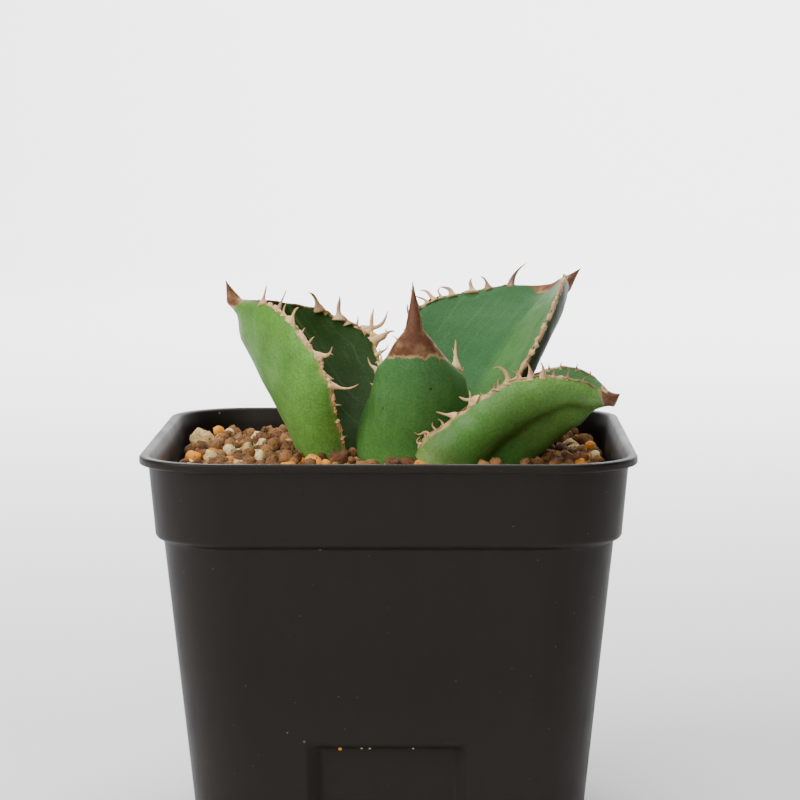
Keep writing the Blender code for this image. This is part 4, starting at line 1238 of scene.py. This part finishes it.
@dataclass
class Grit:
    """The loose top layer: a fine grain for each CAD grain, and small ones that fill between."""
    fill: int = 3200
    seed: int = 5
    level: float = 68.0 * MM
    mound: float = 1.4 * MM
    sunk: float = 0.20                 # how far above the bed a grain's middle lies, in radii
    depth: float = 4.2 * MM             # of the loose layer
    dip: float = 0.6 * MM               # how much lower the bed lies in front
    reach: float = 41.2 * MM            # of the pot's inside, from its middle
    corner: float = 13.0 * MM           # radius of the inside's corners
    settled: float = 0.90               # grains' distance over the sum of their radii
    clear: float = 0.92                 # least distance from a leaf, in radii
    fine: Surface = field(default_factory=lambda: unit_ball(26, 36))
    coarse: Surface = field(default_factory=lambda: unit_ball(5, 8))
    crumbs: tuple[tuple[GritKind, float, float], ...] = (
        (GritKind.KANUMA, -8.7, 0.38), (GritKind.PUMICE, -4.8, 0.20),
        (GritKind.PUMICE, -3.3, 0.22), (GritKind.PUMICE, 4.5, 0.20))

    def kind_of(self, node: str) -> GritKind:
        """The kind of a CAD grain, from the material slot that its mesh carries."""
        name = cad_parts[node].data.materials[0].name
        return next(kind for kind in GritKind if kind.value in name)

    def shaped(self, ball: Surface, seed: int, half: np.ndarray, centre: np.ndarray,
               rough: float, tone: float) -> Surface:
        """A grain: the ball's points, each moved out by 1 + swells + chips, turned and scaled."""
        chance = np.random.default_rng(seed)
        points = ball.points
        swell = 0.17 * ripple(points, seed, 2.6) + rough * ripple(points, seed + 1, 0.9)
        chip = 0.35 * rough * ripple(points, seed + 2, 0.34)
        facets = unit(chance.normal(size=(6, 3)))
        cap = np.clip(points @ facets.T - 0.74, 0.0, 1.0).sum(1)
        shape = points * (1.0 + swell + chip - 0.8 * cap)[:, None]
        low, high = shape.min(0), shape.max(0)
        shape = (shape - (low + high) / 2) / ((high - low) / 2)
        return Surface(shape * half + centre, ball.faces,
                       {"tone": np.full(len(points), tone)})

    def settle(self, heroes: list[tuple[np.ndarray, float]],
               leaves: np.ndarray) -> list[tuple[np.ndarray, float]]:
        """Drop small grains at seeded places; each rests on what is under it.

        Args:
            heroes: centre and radius of the grains that are already there.
            leaves: points on the leaves, that a grain keeps clear of.

        Returns:
            Centre and radius of each grain that found room.
        """
        chance = np.random.default_rng(self.seed)
        centres = np.array([centre for centre, _ in heroes])
        radii = np.array([radius for _, radius in heroes])
        made = []
        for k in range(self.fill):
            radius = (2.6 - 1.5 * (k / self.fill) ** 0.5) * chance.uniform(0.85, 1.1) * MM
            x, y = chance.uniform(-1.0, 1.0, 2) * (self.reach - radius * 0.9)
            corner = np.maximum(np.abs((x, y)) - (self.reach - self.corner), 0.0)
            if np.linalg.norm(corner) > self.corner - radius:
                continue
            across = max(abs(x), abs(y)) / self.reach
            bed = (self.level + self.mound * (1.0 - min(across, 1.0) ** 2)
                   - self.dip * smooth(0.0, -24.0 * MM, y))
            place = np.array((x, y, bed + radius * self.sunk))
            flat = np.linalg.norm(centres[:, :2] - place[:2], axis=1)
            touch = (radii + radius) * self.settled
            near = flat < touch
            if near.any():
                rest = centres[near, 2] + np.sqrt(touch[near] ** 2 - flat[near] ** 2)
                place[2] = max(place[2], rest.max())
            if place[2] + radius > bed + self.depth:
                continue
            if np.linalg.norm(leaves - place, axis=1).min() < radius * self.clear:
                continue
            centres = np.vstack([centres, place])
            radii = np.append(radii, radius)
            made.append((place, radius))
        LOG.info("grit: %d of %d small grains found room", len(made), self.fill)
        return made

    def build(self, leaves: np.ndarray) -> None:
        """Make the grains of each kind."""
        finishes = {
            GritKind.AKADAMA: Mineral("akadama_grain", (0.085, 0.031, 0.008), (0.300, 0.135, 0.038),
                                      (0.045, 0.018, 0.007), 0.45),
            GritKind.PUMICE: Mineral("pumice_grain", (0.56, 0.38, 0.15), (0.82, 0.63, 0.33),
                                     (0.26, 0.12, 0.035), 0.70),
            GritKind.KANUMA: Mineral("kanuma_grain", (0.60, 0.18, 0.012), (0.86, 0.34, 0.030),
                                     (0.34, 0.11, 0.012), 0.40)}
        made = {kind: finish.make() for kind, finish in finishes.items()}
        chance = np.random.default_rng(self.seed + 1)
        heroes = []
        for k, node in enumerate(sorted(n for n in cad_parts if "grain" in n)):
            low, high = (np.array(corner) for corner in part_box(node))
            kind = self.kind_of(node)
            half, centre = (high - low) / 2, (high + low) / 2
            grain = self.shaped(self.fine, self.seed + 10 * k, half * 1.03, centre, 0.11,
                                chance.random())
            grain.to_object(f"{node}_rock", made[kind], kind.value, (node,))
            heroes.append((centre, float(half.mean())))
        kinds = {kind: [] for kind in GritKind}
        for k, (centre, radius) in enumerate(self.settle(heroes, leaves)):
            kind = chance.choice(list(GritKind), p=(0.78, 0.11, 0.11))
            half = radius * chance.uniform(0.82, 1.14, 3)
            kinds[kind].append(self.shaped(self.coarse, 5000 + 7 * k, half, centre, 0.09,
                                           chance.random()))
        pot = PotShell()
        below = 0.9
        z = pot.notch_height - below
        deep = pot.notch_depth * float(smooth(0.0, 1.0, np.array(below / pot.notch_top)))
        for k, (kind, x, radius) in enumerate(self.crumbs):
            y = deep - pot.skin_at(z) - 0.5 * radius
            kinds[kind].append(self.shaped(self.coarse, 9000 + k, np.full(3, radius * MM),
                                           np.array((x, y, z)) * MM, 0.09, 0.8))
        for kind, grains in kinds.items():
            joined(grains).to_object(f"small_{kind.value}", made[kind], kind.value)


# --- Studio -----------------------------------------------------------------------------------
@dataclass(frozen=True)
class Studio:
    """Pale paper sweep, soft light and the camera."""
    lens: float = 127.5
    camera_at: tuple[float, float, float] = (0.0101, -0.5374, 0.1409)
    camera_turn: tuple[float, float, float] = (83.69, 0.08, 0.89)

    def build_sweep(self) -> None:
        """The floor, that curves up behind into a wall: a circle's quarter between two planes."""
        back, bend, tall, wide = 1.6, 0.8, 3.0, 4.0
        turn = np.linspace(0.0, math.pi / 2, 24)
        y = np.concatenate([[-3.0, back], back + bend * np.sin(turn)[1:], [back + bend]])
        z = np.concatenate([[0.0, 0.0], bend * (1.0 - np.cos(turn))[1:], [tall]])
        rows = len(y)
        points = np.stack([np.tile((-wide, wide), rows), np.repeat(y, 2), np.repeat(z, 2)], -1)
        row = np.arange(rows - 1) * 2
        faces = np.stack([row, row + 1, row + 3, row + 2], -1)
        mesh = Surface(points, [faces]).to_mesh("studio_sweep")
        mesh.materials.append(Paper().make())
        mesh.shade_smooth()
        sweep = bpy.data.objects.new("studio_sweep", mesh)
        bpy.context.scene.collection.objects.link(sweep)

    def add_light(self, name: str, place: tuple[float, float, float], power: float,
                  size: float, target: tuple[float, float, float] = (0.0, 0.0, 0.07)) -> None:
        """A square area light at a place, turned to a target."""
        data = bpy.data.lights.new(name, "AREA")
        data.energy, data.size = power, size
        light = bpy.data.objects.new(name, data)
        light.location = place
        light.rotation_euler = (Vector(target) - Vector(place)).to_track_quat("-Z", "Y").to_euler()
        bpy.context.scene.collection.objects.link(light)

    def build(self) -> None:
        """Make the sweep, the lights, the world and the camera."""
        self.build_sweep()
        self.add_light("key", (-0.75, -0.45, 0.65), 13.0, 0.60)
        self.add_light("overhead", (0.05, 0.15, 1.0), 10.0, 0.8)
        self.add_light("front_fill", (-0.15, -1.3, 0.70), 10.0, 0.8)
        self.add_light("backdrop", (0.35, 0.9, 1.6), 198.0, 1.6, (0.1, 2.4, 0.9))
        world = bpy.data.worlds.new("studio_air")
        world.use_nodes = True
        world.node_tree.nodes["Background"].inputs["Color"].default_value = (0.9, 0.93, 1.0, 1.0)
        world.node_tree.nodes["Background"].inputs["Strength"].default_value = 0.12
        bpy.context.scene.world = world
        data = bpy.data.cameras.new("camera")
        data.lens, data.sensor_width = self.lens, 36.0
        data.dof.use_dof = False
        data.clip_start, data.clip_end = 0.01, 50.0
        camera = bpy.data.objects.new("camera", data)
        camera.location = self.camera_at
        camera.rotation_euler = tuple(math.radians(a) for a in self.camera_turn)
        bpy.context.scene.collection.objects.link(camera)
        bpy.context.scene.camera = camera


def paint(node: str, finish: bpy.types.Material) -> None:
    """Give a shown CAD node a procedural material."""
    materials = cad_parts[node].data.materials
    materials.clear()
    materials.append(finish)


def main() -> None:
    """Build every piece and the studio round them."""
    logging.basicConfig(level=logging.INFO, format="%(name)s: %(message)s")
    horn = Horn().make()
    for blade in BLADES:
        blade.build(horn)
    Bud().build()
    PotShell().build()
    Grit().build(np.concatenate([blade.low_points() for blade in BLADES]))
    paint("soil_bed", Mineral("soil_bed_grit", (0.05, 0.022, 0.012), (0.12, 0.055, 0.028),
                              (0.02, 0.010, 0.006), 0.5).make())
    paint("stem", Flesh().make())
    Studio().build()


if __name__ == "__main__":
    main()
